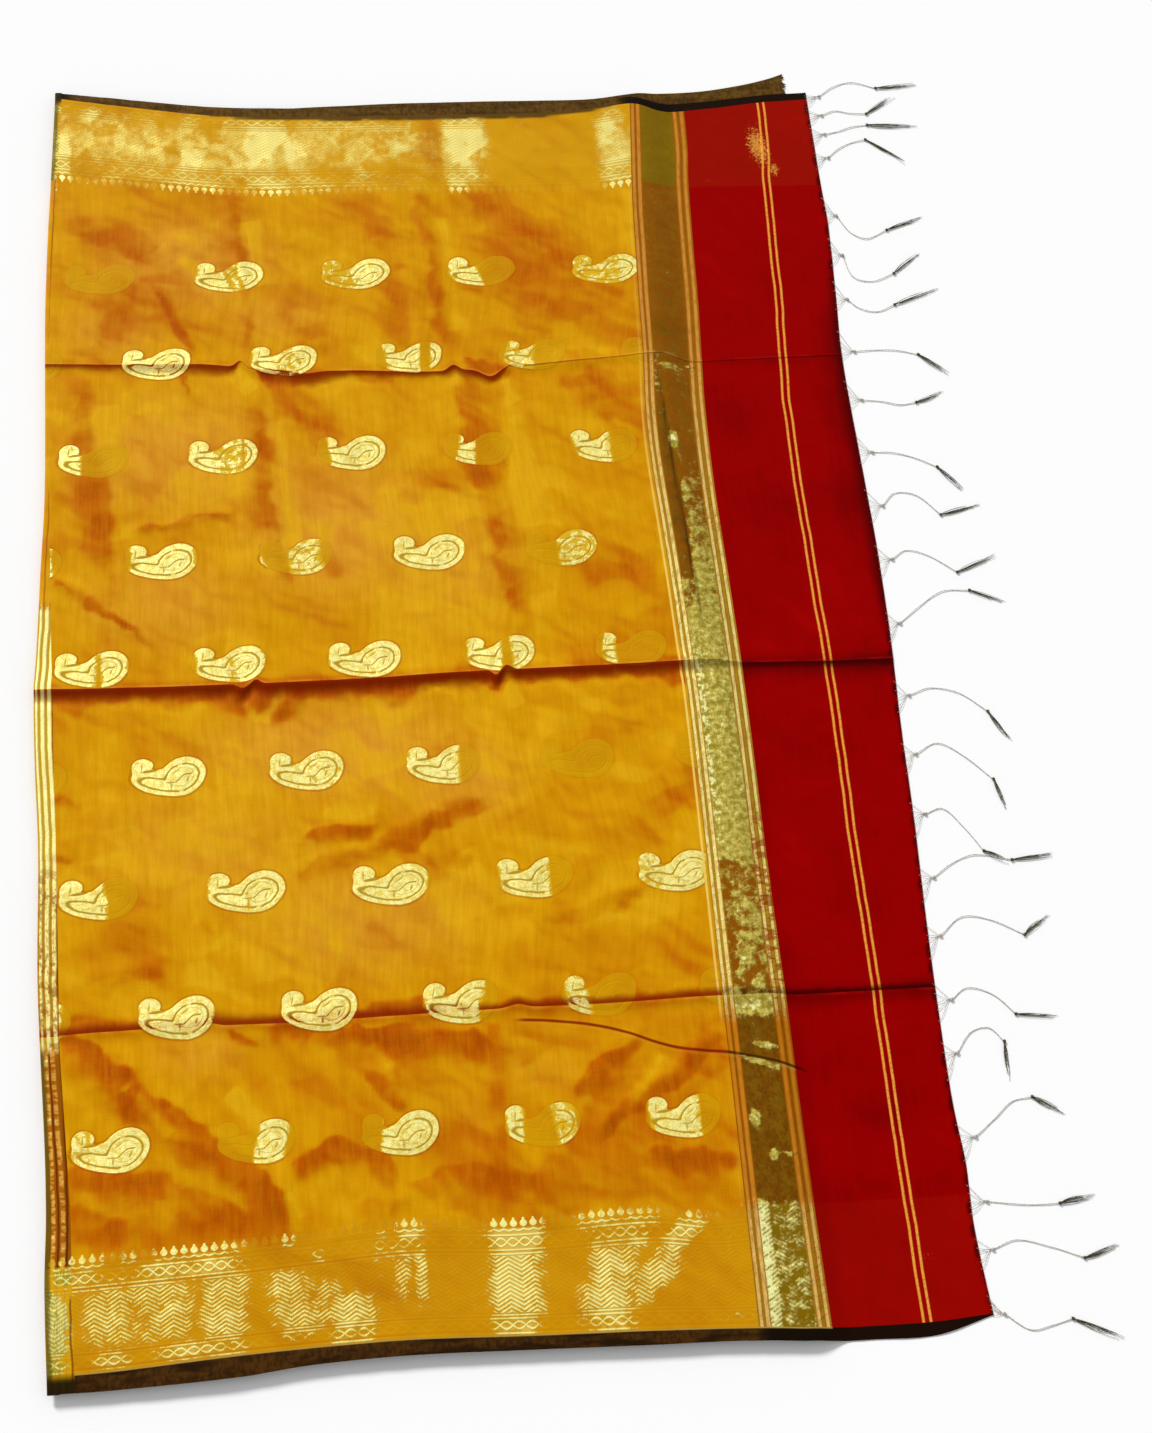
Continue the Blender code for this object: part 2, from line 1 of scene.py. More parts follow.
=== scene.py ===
# A sari folded lengthwise and laid flat, its woven pattern, creases and tassels finished for rendering.
# Tables are in millimetres, u along the cloth from its left fold and v across it from its middle.

import math

import bmesh
import bpy
import numpy as np
from mathutils import Matrix, Vector


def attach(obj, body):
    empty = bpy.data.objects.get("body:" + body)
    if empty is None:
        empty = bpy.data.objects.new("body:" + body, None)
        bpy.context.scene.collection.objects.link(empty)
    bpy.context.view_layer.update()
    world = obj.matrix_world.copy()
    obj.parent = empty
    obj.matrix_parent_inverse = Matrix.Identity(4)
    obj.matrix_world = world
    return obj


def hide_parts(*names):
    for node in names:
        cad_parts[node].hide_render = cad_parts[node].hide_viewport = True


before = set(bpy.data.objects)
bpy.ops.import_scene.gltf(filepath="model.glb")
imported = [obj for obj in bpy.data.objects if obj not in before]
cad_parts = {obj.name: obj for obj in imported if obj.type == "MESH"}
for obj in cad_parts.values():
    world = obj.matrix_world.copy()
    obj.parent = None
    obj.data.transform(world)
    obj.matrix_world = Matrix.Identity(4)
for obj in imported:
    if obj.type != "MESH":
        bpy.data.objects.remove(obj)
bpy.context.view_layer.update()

mm = 0.001
tableSize = 97  # side of the tables of random values behind the waves and facets
tableStart = 40
borderDepth = 89
farAway = 60.0  # a distance that no crease's line reaches
leastFlat = 0.0101  # the least width that is stated for a sheet, in metres
chevron = {"pitch": 3.3, "run": 9.5, "slope": 0.62}
budPitch = 7.4
originShift = (403.101, 5.888)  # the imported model's origin, in the tables' own millimetres
scene = bpy.context.scene

# The photograph's viewing angle
shot = {
    "azimuth": 15.008,
    "elevation": 64.403,
    "roll": 11.166,
    "place": (-0.2024, -0.9243, 1.8633),
    "lens": 62.83,
}
studio = {
    "floorSize": 6.0,
    "floorColour": (250, 250, 250),
    "dome": 0.5,
    "keyFrom": (-2.0, 3.3, 2.9),
    "keySpread": 14,
    "keyPower": 2.75,
}


def toLinear(colour):
    return tuple(
        (c / 255 / 12.92 if c <= 10.3 else ((c / 255 + 0.055) / 1.055) ** 2.4) for c in colour
    )


def makeCamera():
    az, el, roll = (math.radians(shot[key]) for key in ("azimuth", "elevation", "roll"))
    ahead = Vector((math.sin(az) * math.cos(el), math.cos(az) * math.cos(el), -math.sin(el)))
    level = Vector((math.cos(az), -math.sin(az), 0))
    upright = level.cross(ahead)
    right = math.cos(roll) * level + math.sin(roll) * upright
    up = right.cross(ahead)
    camera = bpy.data.objects.new("camera", bpy.data.cameras.new("camera"))
    turn = Matrix((right, up, -ahead)).transposed().to_4x4()
    camera.matrix_world = Matrix.Translation(shot["place"]) @ turn
    camera.data.lens = shot["lens"]
    camera.data.clip_end = 50
    scene.collection.objects.link(camera)
    scene.camera = camera
    scene.view_settings.view_transform = "Standard"


def makeStudio():
    mesh = bmesh.new()
    bmesh.ops.create_grid(mesh, x_segments=1, y_segments=1, size=studio["floorSize"] / 2)
    floorMesh = bpy.data.meshes.new("floor")
    mesh.to_mesh(floorMesh)
    mesh.free()
    floor = bpy.data.objects.new("floor", floorMesh)
    scene.collection.objects.link(floor)
    material = bpy.data.materials.new("paleFloor")
    material.use_nodes = True
    shader = material.node_tree.nodes["Principled BSDF"]
    shader.inputs["Base Color"].default_value = (*toLinear(studio["floorColour"]), 1)
    shader.inputs["Roughness"].default_value = 0.9
    shader.inputs["Specular IOR Level"].default_value = 0.1
    floorMesh.materials.append(material)
    world = bpy.data.worlds.new("softDome")
    world.use_nodes = True
    world.node_tree.nodes["Background"].inputs["Color"].default_value = (1, 1, 1, 1)
    world.node_tree.nodes["Background"].inputs["Strength"].default_value = studio["dome"]
    scene.world = world
    light = bpy.data.lights.new("key", "SUN")
    light.angle = math.radians(studio["keySpread"])
    light.energy = studio["keyPower"]
    key = bpy.data.objects.new("key", light)
    place = Vector(studio["keyFrom"])
    key.matrix_world = Matrix.Translation(place) @ place.to_track_quat("Z", "Y").to_matrix().to_4x4()
    scene.collection.objects.link(key)
    return floor


makeCamera()
floor = makeStudio()
print("camera, floor and lights are set")

# Lines that run across the cloth: u of each at several v
lengthLines = {
    "fold": (
        (580, 475, 430, 350, 285, 165, 95, 20, -20, -80, -155, -260, -315, -400, -450, -500, -575),
        (8, 4, 2, 0, 0, 0, -3, -6, -8, -7, -4, -4, -2, 2, 3, 2, 4),
    ),
    "strip": (
        (580, 475, 430, 350, 285, 165, 95, 20, -20, -80, -155, -260, -315, -400, -450, -500, -575),
        (14, 10, 7, 4, 3, 4, 5, 6, 7, 8, 10, 12, 13, 18, 21, 22, 24),
    ),
    "bandStart": (
        (580, 520, 480, 440, 400, 350, 285, 240, 200, 160, 120, 60, 0, -40, -100, -240, -320, -575),
        (536, 531.5, 528.5, 526, 524.5, 522.3, 520, 517, 516.4, 517.5, 519.5, 522, 524, 525.3,
         525.6, 525.2, 525, 524),
    ),
    "bandEnd": (
        (580, 520, 480, 400, 360, 320, 280, 240, 160, 80, 0, -80, -200, -320, -400, -480, -575),
        (587, 585.6, 582.3, 579, 577.8, 575.8, 573.6, 571.8, 571.2, 573.3, 575.2, 575.8, 575.6,
         576.8, 577, 578, 580),
    ),
    "palluEnd": (
        (580, 475, 430, 350, 285, 165, 95, 20, -20, -80, -155, -260, -315, -400, -450, -500, -575),
        (705, 706, 707, 704, 701, 704, 706, 706, 705, 703, 702, 699, 698, 698, 701, 700, 705),
    ),
    "stackEnd": (
        (580, 475, 430, 350, 285, 165, 95, 20, -20, -80, -155, -260, -315, -400, -450, -500, -575),
        (541, 538, 536, 533, 531, 536, 539, 543, 545, 548, 550, 553, 555, 557, 558, 559, 560),
    ),
}

# Lines that run along the cloth: v of each at several u
widthPlaces = (0, 50, 140, 193, 265, 350, 450, 500, 536, 562, 612, 660, 705)
widthLines = {
    "farEdge": (589, 582, 570, 567, 566, 566, 567, 570, 574, 570, 573, 579, 582),
    "farSelvedge": (583, 574, 560, 557, 556, 556, 557, 561, 566, 561, 565, 571, 574),
    "farBorder": (490, 483, 471, 467, 468, 467, 466, 468, 474, 474, 473, 474, 476),
    "farCrease": (295, 293, 290, 283, 280, 277, 284, 288, 291, 286, 287, 288, 289),
    "middleCrease": (-17, -18, -19, -19, -18, -16, -15, -14, -13, -13, -14, -15, -15),
    "nearCrease": (-311, -309, -309, -310, -309, -308, -308, -307, -307, -307, -307, -307, -307),
    "nearBorder": (-480, -478, -475, -472, -467, -472, -468, -476, -473, -474, -475, -475, -474),
    "nearSelvedge": (-565, -564, -559, -557, -556, -559, -562, -564, -566, -568, -569, -569, -566),
    "nearEdge": (-578, -578, -575, -570, -568, -570, -573, -574, -576, -578, -579, -579, -567),
}

# Kinks of the long creases: u, shift of v and half length
kinks = {
    "farCrease": ((167, 7, 5), (352, 6, 6), (384, -8, 10), (404, 3, 5), (222, -3, 14)),
    "middleCrease": ((160, -4, 5), (171, 4, 4), (368, -5, 4), (377, 4, 5)),
    "nearCrease": ((128, 2, 6), (364, 3, 9), (214, -2, 8)),
}

# Rows and columns of the cloth's mesh: from one line and shift to the next, in so many steps
rowSpans = (
    ("nearEdge", 0, "nearSelvedge", 0, 7),
    ("nearSelvedge", 0, "nearBorder", 0, 40),
    ("nearBorder", 0, "nearCrease", -14, 64),
    ("nearCrease", -14, "nearCrease", 0, 13),
    ("nearCrease", 0, "nearCrease", 14, 12),
    ("nearCrease", 14, "middleCrease", -14, 112),
    ("middleCrease", -14, "middleCrease", 0, 13),
    ("middleCrease", 0, "middleCrease", 14, 12),
    ("middleCrease", 14, "farCrease", -14, 114),
    ("farCrease", -14, "farCrease", 0, 13),
    ("farCrease", 0, "farCrease", 14, 12),
    ("farCrease", 14, "farBorder", 0, 74),
    ("farBorder", 0, "farSelvedge", 0, 40),
    ("farSelvedge", 0, "farEdge", 0, 6),
)
columnSpans = (
    ("fold", "strip", 5),
    ("strip", "bandStart", 216),
    ("bandStart", "bandEnd", 26),
    ("bandEnd", "palluEnd", 50),
)

stack = {
    "height": 7.0,
    "length": 540,
    "clearance": 0.45,
    "bulge": 0.7,
    "ramp": 34.0,
    "wall": 1.2,
    "cloth": 0.6,  # thickness that the top ply is shown with
}
# Height over the cloth, half width on the far side, on the near side, and the dip beyond it
longCreases = (
    ("farCrease", 0.9, 9.0, 4.5, 0.4),
    ("middleCrease", 2.0, 11.0, 4.5, 1.0),
    ("nearCrease", 1.1, 9.0, 4.5, 0.3),
)
# The larger soft folds: start, end, height and half width
softFolds = (
    (20, -322, 178, -455, 1.9, 20),
    (265, -335, 385, -462, 1.7, 22),
    (110, -345, 235, -400, 1.0, 16),
    (0, 88, 84, 30, 0.9, 9),
    (160, 285, 172, 0, 0.9, 10),
    (300, 560, 330, 300, 1.0, 11),
    (335, 270, 372, -15, 1.0, 10),
    (372, -30, 385, -300, 0.9, 10),
    (420, -340, 500, -455, 1.1, 15),
    (60, 500, 250, 430, 0.9, 14),
    (610, 240, 690, 205, 0.8, 10),
    (600, -120, 640, -290, 0.7, 11),
)
# Creases that stand out by the burnt-orange shade painted where they lean from the light: start, end, half
# width, height and painted shade
streaks = (
    (10, 440, 125, 402, 13, 0.9, 0.36),
    (70, 382, 40, 312, 16, 0.7, 0.28),
    (100, 372, 128, 296, 4, 0.7, 0.65),
    (165, 462, 178, 300, 6, 0.7, 0.3),
    (200, 342, 262, 300, 14, 0.6, 0.3),
    (292, 440, 302, 302, 16, 0.6, 0.35),
    (335, 470, 349, 296, 8, 0.9, 0.45),
    (400, 420, 500, 312, 34, 0.6, 0.2),
    (440, 352, 516, 300, 20, 0.5, 0.3),
    (22, 288, 46, 60, 14, 0.7, 0.45),
    (192, 282, 250, 200, 12, 0.9, 0.6),
    (174, 252, 190, 72, 10, 0.8, 0.5),
    (364, 276, 391, 28, 12, 0.9, 0.55),
    (360, 284, 396, 272, 5, 0.8, 0.7),
    (448, 282, 520, 228, 20, 0.7, 0.4),
    (78, 124, 152, 142, 4, 0.6, 0.5),
    (4, 84, 86, 24, 4, 0.9, 0.75),
    (418, 102, 520, 38, 20, 0.6, 0.3),
    (180, 284, 242, 271, 7, 0.6, 0.6),
    (152, -30, 202, -44, 10, 0.8, 0.7),
    (358, -28, 382, -24, 8, 0.9, 0.7),
    (205, -158, 262, -154, 6, 0.8, 0.7),
    (268, -171, 347, -130, 9, 1.0, 0.75),
    (200, -185, 272, -170, 8, 0.6, 0.45),
    (300, -181, 332, -186, 7, 0.5, 0.4),
    (0, -110, 26, -121, 4, 0.5, 0.6),
    (4, -160, 22, -166, 4, 0.5, 0.6),
    (118, -224, 132, -236, 4, 0.5, 0.5),
    (30, -271, 92, -264, 8, 0.5, 0.3),
    (400, -236, 441, -190, 12, 0.7, 0.4),
    (398, -241, 471, -214, 8, 0.6, 0.45),
    (0, -442, 60, -470, 12, 0.6, 0.6),
    (244, -350, 268, -380, 5, 0.8, 0.65),
    (409, -382, 460, -336, 7, 0.8, 0.75),
    (423, -412, 512, -348, 7, 0.8, 0.6),
    (462, -438, 522, -442, 8, 0.6, 0.7),
    (166, -19, 154, -34, 3, 0.4, 1.0),
    (184, -24, 172, -50, 4, 0.5, 0.75),
    (374, -18, 364, -34, 3, 0.4, 1.0),
    (140, -318, 164, -324, 4, 0.4, 0.8),
    (206, -316, 250, -325, 5, 0.5, 0.85),
    (246, -322, 350, -340, 8, 0.5, 0.7),
    (186, 280, 206, 270, 4, 0.5, 0.8),
    (118, 284, 122, 262, 3, 0.3, 0.5),
)
# Broad bent streaks of the near panel, of painted burnt-orange shade: the points they pass through, half
# width, height and painted shade
broadStreaks = (
    (
        ((14, -322), (40, -334), (73, -366), (107, -396), (140, -424), (166, -450), (180, -466)),
        13, 1.2, 0.95,
    ),
    (((172, -314), (210, -320), (262, -329), (292, -337), (338, -340)), 8, 0.6, 0.8),
    (((186, -424), (214, -412), (250, -424), (264, -454)), 11, 0.8, 0.75),
    (((338, -345), (340, -400), (349, -456)), 21, 0.6, 0.42),
    (((14, -424), (88, -440), (150, -466)), 13, 0.6, 0.55),
    (((232, -462), (300, -440), (372, -452)), 9, 0.4, 0.4),
)
# The thin crease that wanders off the near long one, as shares of a box: its left, length, low and width
thinCrease = {
    "left": 350.0,
    "length": 250.0,
    "low": -400.0,
    "width": 100.0,
    "end": 590.0,
    "spots": ((0.024, 0.83), (0.17, 0.8), (0.32, 0.73), (0.56, 0.52), (0.72, 0.46), (1.0, 0.25)),
}
# Thin creases: the points they pass through, height, and shade
thinCreases = (
    (((356, -317), (430, -327), (490, -348), (530, -354), (588, -372)), 0.4, 0.95),
    (((0, 66), (40, 44), (88, 22)), 0.5, 0.5),
    (((112, 352), (124, 318), (130, 296)), 0.5, 0.6),
    (((205, -156), (240, -160), (264, -152)), 0.4, 0.5),
    (((60, 128), (110, 132), (160, 143)), 0.4, 0.35),
)
# Small facets that catch the light beside the creases: start, end, half width and amount
litFacets = (
    (194, -22, 176, -54, 5, 0.9),
    (160, -32, 172, -52, 5, 0.6),
    (374, -26, 384, -48, 6, 0.7),
    (160, 284, 176, 262, 6, 1.0),
    (352, 262, 362, 284, 5, 0.5),
    (396, 268, 402, 244, 5, 0.5),
    (62, -352, 96, -392, 6, 0.6),
    (140, -362, 176, -402, 9, 0.7),
    (180, -444, 190, -462, 5, 0.5),
    (250, -330, 262, -352, 5, 0.5),
    (100, 415, 150, 372, 9, 0.5),
    (178, 440, 186, 372, 9, 0.6),
    (198, 232, 206, 110, 9, 0.4),
    (398, 250, 410, 120, 10, 0.4),
    (350, 440, 356, 320, 9, 0.4),
    (52, 250, 66, 120, 12, 0.4),
    (220, -136, 262, -138, 6, 0.4),
    (440, -398, 474, -352, 5, 0.6),
    (395, -400, 430, -356, 6, 0.5),
)


def smoothCurve(places, values, at):
    # a smooth curve through the rows of a table
    places, values = np.array(places, float), np.array(values, float)
    if places[0] > places[-1]:
        places, values = places[::-1], values[::-1]
    slopes = np.empty_like(values)
    slopes[1:-1] = (values[2:] - values[:-2]) / (places[2:] - places[:-2])
    slopes[0] = (values[1] - values[0]) / (places[1] - places[0])
    slopes[-1] = (values[-1] - values[-2]) / (places[-1] - places[-2])
    at = np.clip(at, places[0], places[-1])
    k = np.clip(np.searchsorted(places, at, side="right") - 1, 0, len(places) - 2)
    span = places[k + 1] - places[k]
    t = (at - places[k]) / span
    rise = t * t * (3 - 2 * t)
    bend = t * (1 - t) ** 2 * slopes[k] * span + t * t * (t - 1) * slopes[k + 1] * span
    return values[k] * (1 - rise) + values[k + 1] * rise + bend


def lengthLine(name, v):
    return smoothCurve(*lengthLines[name], v)


def widthLine(name, u):
    v = smoothCurve(widthPlaces, widthLines[name], u)
    for place, shift, half in kinks.get(name, ()):
        v = v + shift * np.exp(-(((u - place) / half) ** 2))
    return v


def eased(t):
    t = np.clip(t, 0, 1)
    return t * t * (3 - 2 * t)


def bell(distance, half):
    return np.exp(-((distance / half) ** 2))


def turned(u, v, turn):
    cos, sin = math.cos(math.radians(turn)), math.sin(math.radians(turn))
    return u * cos + v * sin, v * cos - u * sin


def waves(u, v, size, seed, turn=0.0):
    # smooth random waves from about -1 to 1, of one size in millimetres
    table = np.random.default_rng(seed).uniform(-1, 1, (tableSize, tableSize))
    a, b = (side / size + tableStart for side in turned(u, v, turn))
    i, j = np.floor(a).astype(int), np.floor(b).astype(int)
    s, t = eased(a - i), eased(b - j)
    corners = [table[(i + m) % tableSize, (j + n) % tableSize] for m in (0, 1) for n in (0, 1)]
    low = corners[0] * (1 - t) + corners[1] * t
    high = corners[2] * (1 - t) + corners[3] * t
    return low * (1 - s) + high * s


def facets(u, v, size, seed, turn=0.0, stretch=1.0, soft=0.12):
    # flat uneven patches from -1 to 1, about one size across, with narrow soft borders
    rng = np.random.default_rng(seed)
    aside = rng.uniform(0, 1, (tableSize, tableSize))
    ahead = rng.uniform(0, 1, (tableSize, tableSize))
    level = rng.uniform(-1, 1, (tableSize, tableSize))
    a, b = turned(u, v, turn)
    a, b = a / size / stretch + tableStart, b / size + tableStart
    i, j = np.floor(a).astype(int), np.floor(b).astype(int)
    first, second = np.full(u.shape, 9.0), np.full(u.shape, 9.0)
    nearest, behind = np.zeros(u.shape), np.zeros(u.shape)
    for m in (-1, 0, 1):
        for n in (-1, 0, 1):
            cell = ((i + m) % tableSize, (j + n) % tableSize)
            away = np.hypot(i + m + aside[cell] - a, j + n + ahead[cell] - b)
            closer = away < first
            after = ~closer & (away < second)
            second = np.where(closer, first, np.where(after, away, second))
            behind = np.where(closer, nearest, np.where(after, level[cell], behind))
            nearest = np.where(closer, level[cell], nearest)
            first = np.where(closer, away, first)
    share = 0.5 + 0.5 * np.clip((second - first) / soft, 0, 1)
    return nearest * share + behind * (1 - share)


def rampShare(u, v):
    # 0 over the stack, 1 where the top ply lies on the floor
    return eased((u - lengthLine("stackEnd", v) - 2) / stack["ramp"])


def swell(u, v):
    inside = np.sin(np.pi * np.clip(u / stack["length"], 0, 1))
    edges = [widthLine(name, u) for name in ("nearEdge", "nearCrease", "middleCrease")]
    edges += [widthLine(name, u) for name in ("farCrease", "farEdge")]
    total = np.zeros_like(u)
    for low, high in zip(edges, edges[1:]):
        share = np.clip((v - low) / (high - low), 0, 1)
        total += np.sin(np.pi * share) ** 2
    return stack["bulge"] * inside * total


def alongAndAcross(u, v, start, end):
    du, dv = end[0] - start[0], end[1] - start[1]
    length = math.hypot(du, dv)
    along = ((u - start[0]) * du + (v - start[1]) * dv) / length
    across = ((v - start[1]) * du - (u - start[0]) * dv) / length
    return along, across, length


def pathDistance(u, v, points):
    # the distance from a path of straight stretches, and on which side of it
    nearest = np.full(u.shape, 1e6)
    side = np.zeros_like(u)
    for start, end in zip(points, points[1:]):
        along, across, length = alongAndAcross(u, v, start, end)
        beyond = np.maximum(np.maximum(-along, along - length), 0)
        distance = np.hypot(across, beyond)
        closer = distance < nearest
        nearest = np.where(closer, distance, nearest)
        side = np.where(closer, across, side)
    return nearest, side


def oneSided(across, half, crispness=1.0):
    # full in the middle, with a crisper edge on one side and a soft one on the other
    crisp = eased((half - across) / (0.5 * half + 2.2) * crispness + 0.5)
    soft = eased((across + half) / (1.6 * half + 2.5) + 0.3)
    return crisp * soft


def streakPlace(u, v, start, end, half, fullness):
    # how far across a streak, the share of the way along it, and its half width there
    along, across, length = alongAndAcross(u, v, start, end)
    share = np.clip((along / length + 0.12) / 1.24, 0, 1)
    return across, share, half * fullness * np.sqrt(4 * share * (1 - share)) + 0.01


def creaseRelief(u, v):
    # height of the creases and soft folds over the smooth cloth, and the burnt-orange shade painted where
    # they lean from the light
    relief = np.zeros_like(u)
    shade = np.zeros_like(u)
    down = rampShare(u, v)
    uneven = 1 + 0.35 * waves(u, v, 46, 5)
    for name, rise, far, near, dip in longCreases:
        away = v - widthLine(name, u)
        ridge = np.where(away > 0, np.exp(-np.abs(away) / far), bell(away, near))
        relief += (rise * ridge * uneven - dip * bell(away + 10, 5)) * (1 - 0.6 * down)
    for u0, v0, u1, v1, rise, half in softFolds:
        along, across, length = alongAndAcross(u, v, (u0, v0), (u1, v1))
        across = across + 0.35 * half * waves(u, v, 38, int(u0) + 700)
        ends = eased(along / 30 + 0.5) * eased((length - along) / 30 + 0.5)
        relief += rise * ends * bell(across, half)
    towardLight = (-0.45, 0.89)
    raggedU = u + 5 * waves(u, v, 17, 91) + 2.5 * waves(u, v, 7, 92)
    raggedV = v + 5 * waves(u, v, 17, 93) + 2.5 * waves(u, v, 7, 94)
    faint = 1 + 0.35 * facets(raggedU, raggedV, 15, 95, 35, 1.6)
    for number, (u0, v0, u1, v1, half, rise, strength) in enumerate(streaks):
        facing = (towardLight[1] * (u1 - u0) - towardLight[0] * (v1 - v0)) / math.hypot(u1 - u0, v1 - v0)
        wander = 0.45 * half * waves(u, v, 40, number + 30)
        across, share, local = streakPlace(u, v, (u0, v0), (u1, v1), half, 1.35)
        across = across + wander
        relief += rise * bell(across - 0.8 * half * facing, half) * np.minimum(local / half, 1)
        across, share, local = streakPlace(raggedU, raggedV, (u0, v0), (u1, v1), half, 1.2)
        across = across + wander
        ends = eased(6 * share * (1 - share))
        side = 1 if number % 2 else -1
        shade = np.maximum(shade, strength * ends * faint * oneSided(across * side, local))
    for number, (points, half, rise, strength) in enumerate(broadStreaks):
        distance, side = pathDistance(raggedU, raggedV, points)
        signed = np.where(side > 0, distance, -distance) + 0.4 * half * waves(u, v, 38, number + 130)
        beyond = eased((points[0][0] - u) / 14 + 0.5) + eased((u - points[-1][0]) / 14 + 0.5)
        relief += rise * bell(distance, half)
        # painted burnt-orange shade across the broad streak
        streakShade = strength * faint * oneSided(signed, half * 1.1, 1.5)
        shade = np.maximum(shade, streakShade * (1 - np.clip(beyond, 0, 1)))
    for points, rise, strength in thinCreases:
        distance, side = pathDistance(u, v, points)
        relief += rise * np.exp(-distance / np.where(side > 0, 5.0, 2.2))
    return relief, shade, down


def clothHeights(u, v):
    # the heights of the top ply's two faces, with the shade painted on its creases
    relief, shade, down = creaseRelief(u, v)
    fine = 0.3 * np.abs(waves(u, v, 21, 11, 24)) + 0.16 * waves(u, v, 9, 12, 60)
    fine += 0.35 * waves(u, v, 55, 13) + 0.25 * np.abs(waves(u, v, 33, 14, 100))
    base = stack["height"] + stack["clearance"] + swell(u, v) + stack["wall"]
    edge = np.minimum(widthLine("farEdge", u) - v, v - widthLine("nearEdge", u))
    base -= 0.5 * np.exp(-np.maximum(edge, 0) / 4)
    top = (base + relief + fine) * (1 - down)
    resting = stack["cloth"] + 0.55 * np.maximum(relief, 0) + 0.8 * np.abs(fine) + 0.12
    top += resting * down
    return np.maximum(top - stack["cloth"], 0.02), top, shade


def rowsBetween(first, last):
    starts = [span[:2] for span in rowSpans]
    ends = [span[2:4] for span in rowSpans]
    spans = rowSpans[starts.index((first, 0)) : ends.index((last, 0)) + 1]
    rows = [(*span[:4], step / span[4]) for span in spans for step in range(span[4])]
    return rows + [(*spans[-1][:4], 1.0)]


def columnsBetween(first, last):
    starts = [span[0] for span in columnSpans]
    ends = [span[1] for span in columnSpans]
    spans = columnSpans[starts.index(first) : ends.index(last) + 1]
    columns = [(*span[:2], step / span[2]) for span in spans for step in range(span[2])]
    return columns + [(*spans[-1][:2], 1.0)]


def fillRows(rows, u, v):
    # v along each row, at the u it has so far
    for i, (low, lowShift, high, highShift, share) in enumerate(rows):
        start = widthLine(low, u[i]) + lowShift
        v[i] = start + (widthLine(high, u[i]) + highShift - start) * share


def crossings(rows, columns):
    # u and v wherever a row meets a column
    u = np.full((len(rows), len(columns)), 350.0)
    v = np.zeros_like(u)
    for _ in range(6):
        fillRows(rows, u, v)
        for j, (low, high, share) in enumerate(columns):
            start = lengthLine(low, v[:, j])
            u[:, j] = start + (lengthLine(high, v[:, j]) - start) * share
    return u, v


# Where the zari paisleys catch the light: v of a row, then stretches of u with an amount
paisleyGleams = {
    383: (
        (130, 157, 1), (155, 172, 0.3), (171, 192, 1), (240, 274, 0.28), (271, 302, 1), (357, 380, 1),
        (465, 514, 0.34), (511, 526, 1),
    ),
    295: (
        (65, 128, 1), (180, 198, 1), (196, 222, 0.5), (218, 240, 1), (292, 320, 1), (335, 346, 0.9),
        (400, 424, 0.5),
    ),
    212: ((6, 26, 0.8),),
    200: (
        (124, 144, 1), (142, 168, 0.4), (167, 178, 0.9), (240, 296, 1), (352, 365, 0.9), (455, 483, 1),
    ),
    102: ((-2, 8, 1), (68, 126, 1), (173, 181, 0.8), (206, 232, 0.5), (286, 347, 1), (428, 462, 0.42)),
    2: (
        (8, 42, 1), (46, 69, 1), (121, 144, 1), (142, 160, 0.5), (157, 177, 1), (231, 292, 1),
        (343, 371, 1), (381, 403, 0.7), (462, 470, 1),
    ),
    -95: ((69, 131, 1), (182, 206, 1), (204, 236, 0.62), (233, 245, 1), (291, 330, 1)),
    -198: (
        (9, 45, 1), (128, 159, 1), (161, 192, 1), (239, 299, 1), (361, 399, 1), (468, 492, 0.5),
        (490, 526, 1),
    ),
    -298: ((-4, 15, 1), (71, 133, 1), (182, 244, 1), (293, 336, 0.8), (403, 421, 0.6)),
    -400: (
        (15, 34, 0.62), (32, 86, 0.95), (160, 183, 1), (256, 299, 0.9), (352, 362, 1), (384, 400, 0.42),
        (462, 499, 0.8),
    ),
}
# Where the far and near borders catch the light: middle, half sizes, turn and amount of each patch
farBorderGleams = (
    (50, 556, 24, 11, -18, 0.75), (16, 552, 6, 28, 0, 0.4), (30, 505, 20, 22, -20, 0.42),
    (78, 556, 16, 10, -30, 0.5), (128, 526, 38, 20, 0, 0.56), (132, 482, 32, 16, 0, 0.75),
    (160, 548, 20, 8, -30, 0.5), (70, 505, 30, 16, 10, 0.5), (194, 518, 20, 34, 2, 1.15),
    (196, 480, 24, 16, 0, 0.95), (216, 520, 8, 30, 8, 0.9), (232, 500, 12, 30, 0, 0.5),
    (244, 480, 20, 13, 0, 0.7), (252, 524, 8, 34, -32, 0.62), (296, 543, 44, 8, 0, 0.55),
    (308, 516, 34, 12, 32, 0.8), (330, 536, 7, 22, -10, 0.8), (285, 490, 20, 8, 30, 0.45),
    (300, 500, 36, 26, 0, 0.4), (225, 545, 40, 9, 0, 0.45), (378, 522, 19, 38, 0, 1.15),
    (368, 482, 10, 16, 0, 1.0), (384, 500, 11, 24, 14, 0.9), (426, 544, 7, 6, 0, 0.35),
    (516, 520, 15, 42, 0, 1.1), (516, 478, 16, 12, 0, 0.95), (165, 518, 178, 44, 0, 0.6),
    (130, 515, 60, 34, 0, 0.75), (16, 505, 7, 38, 0, 1.3),
)
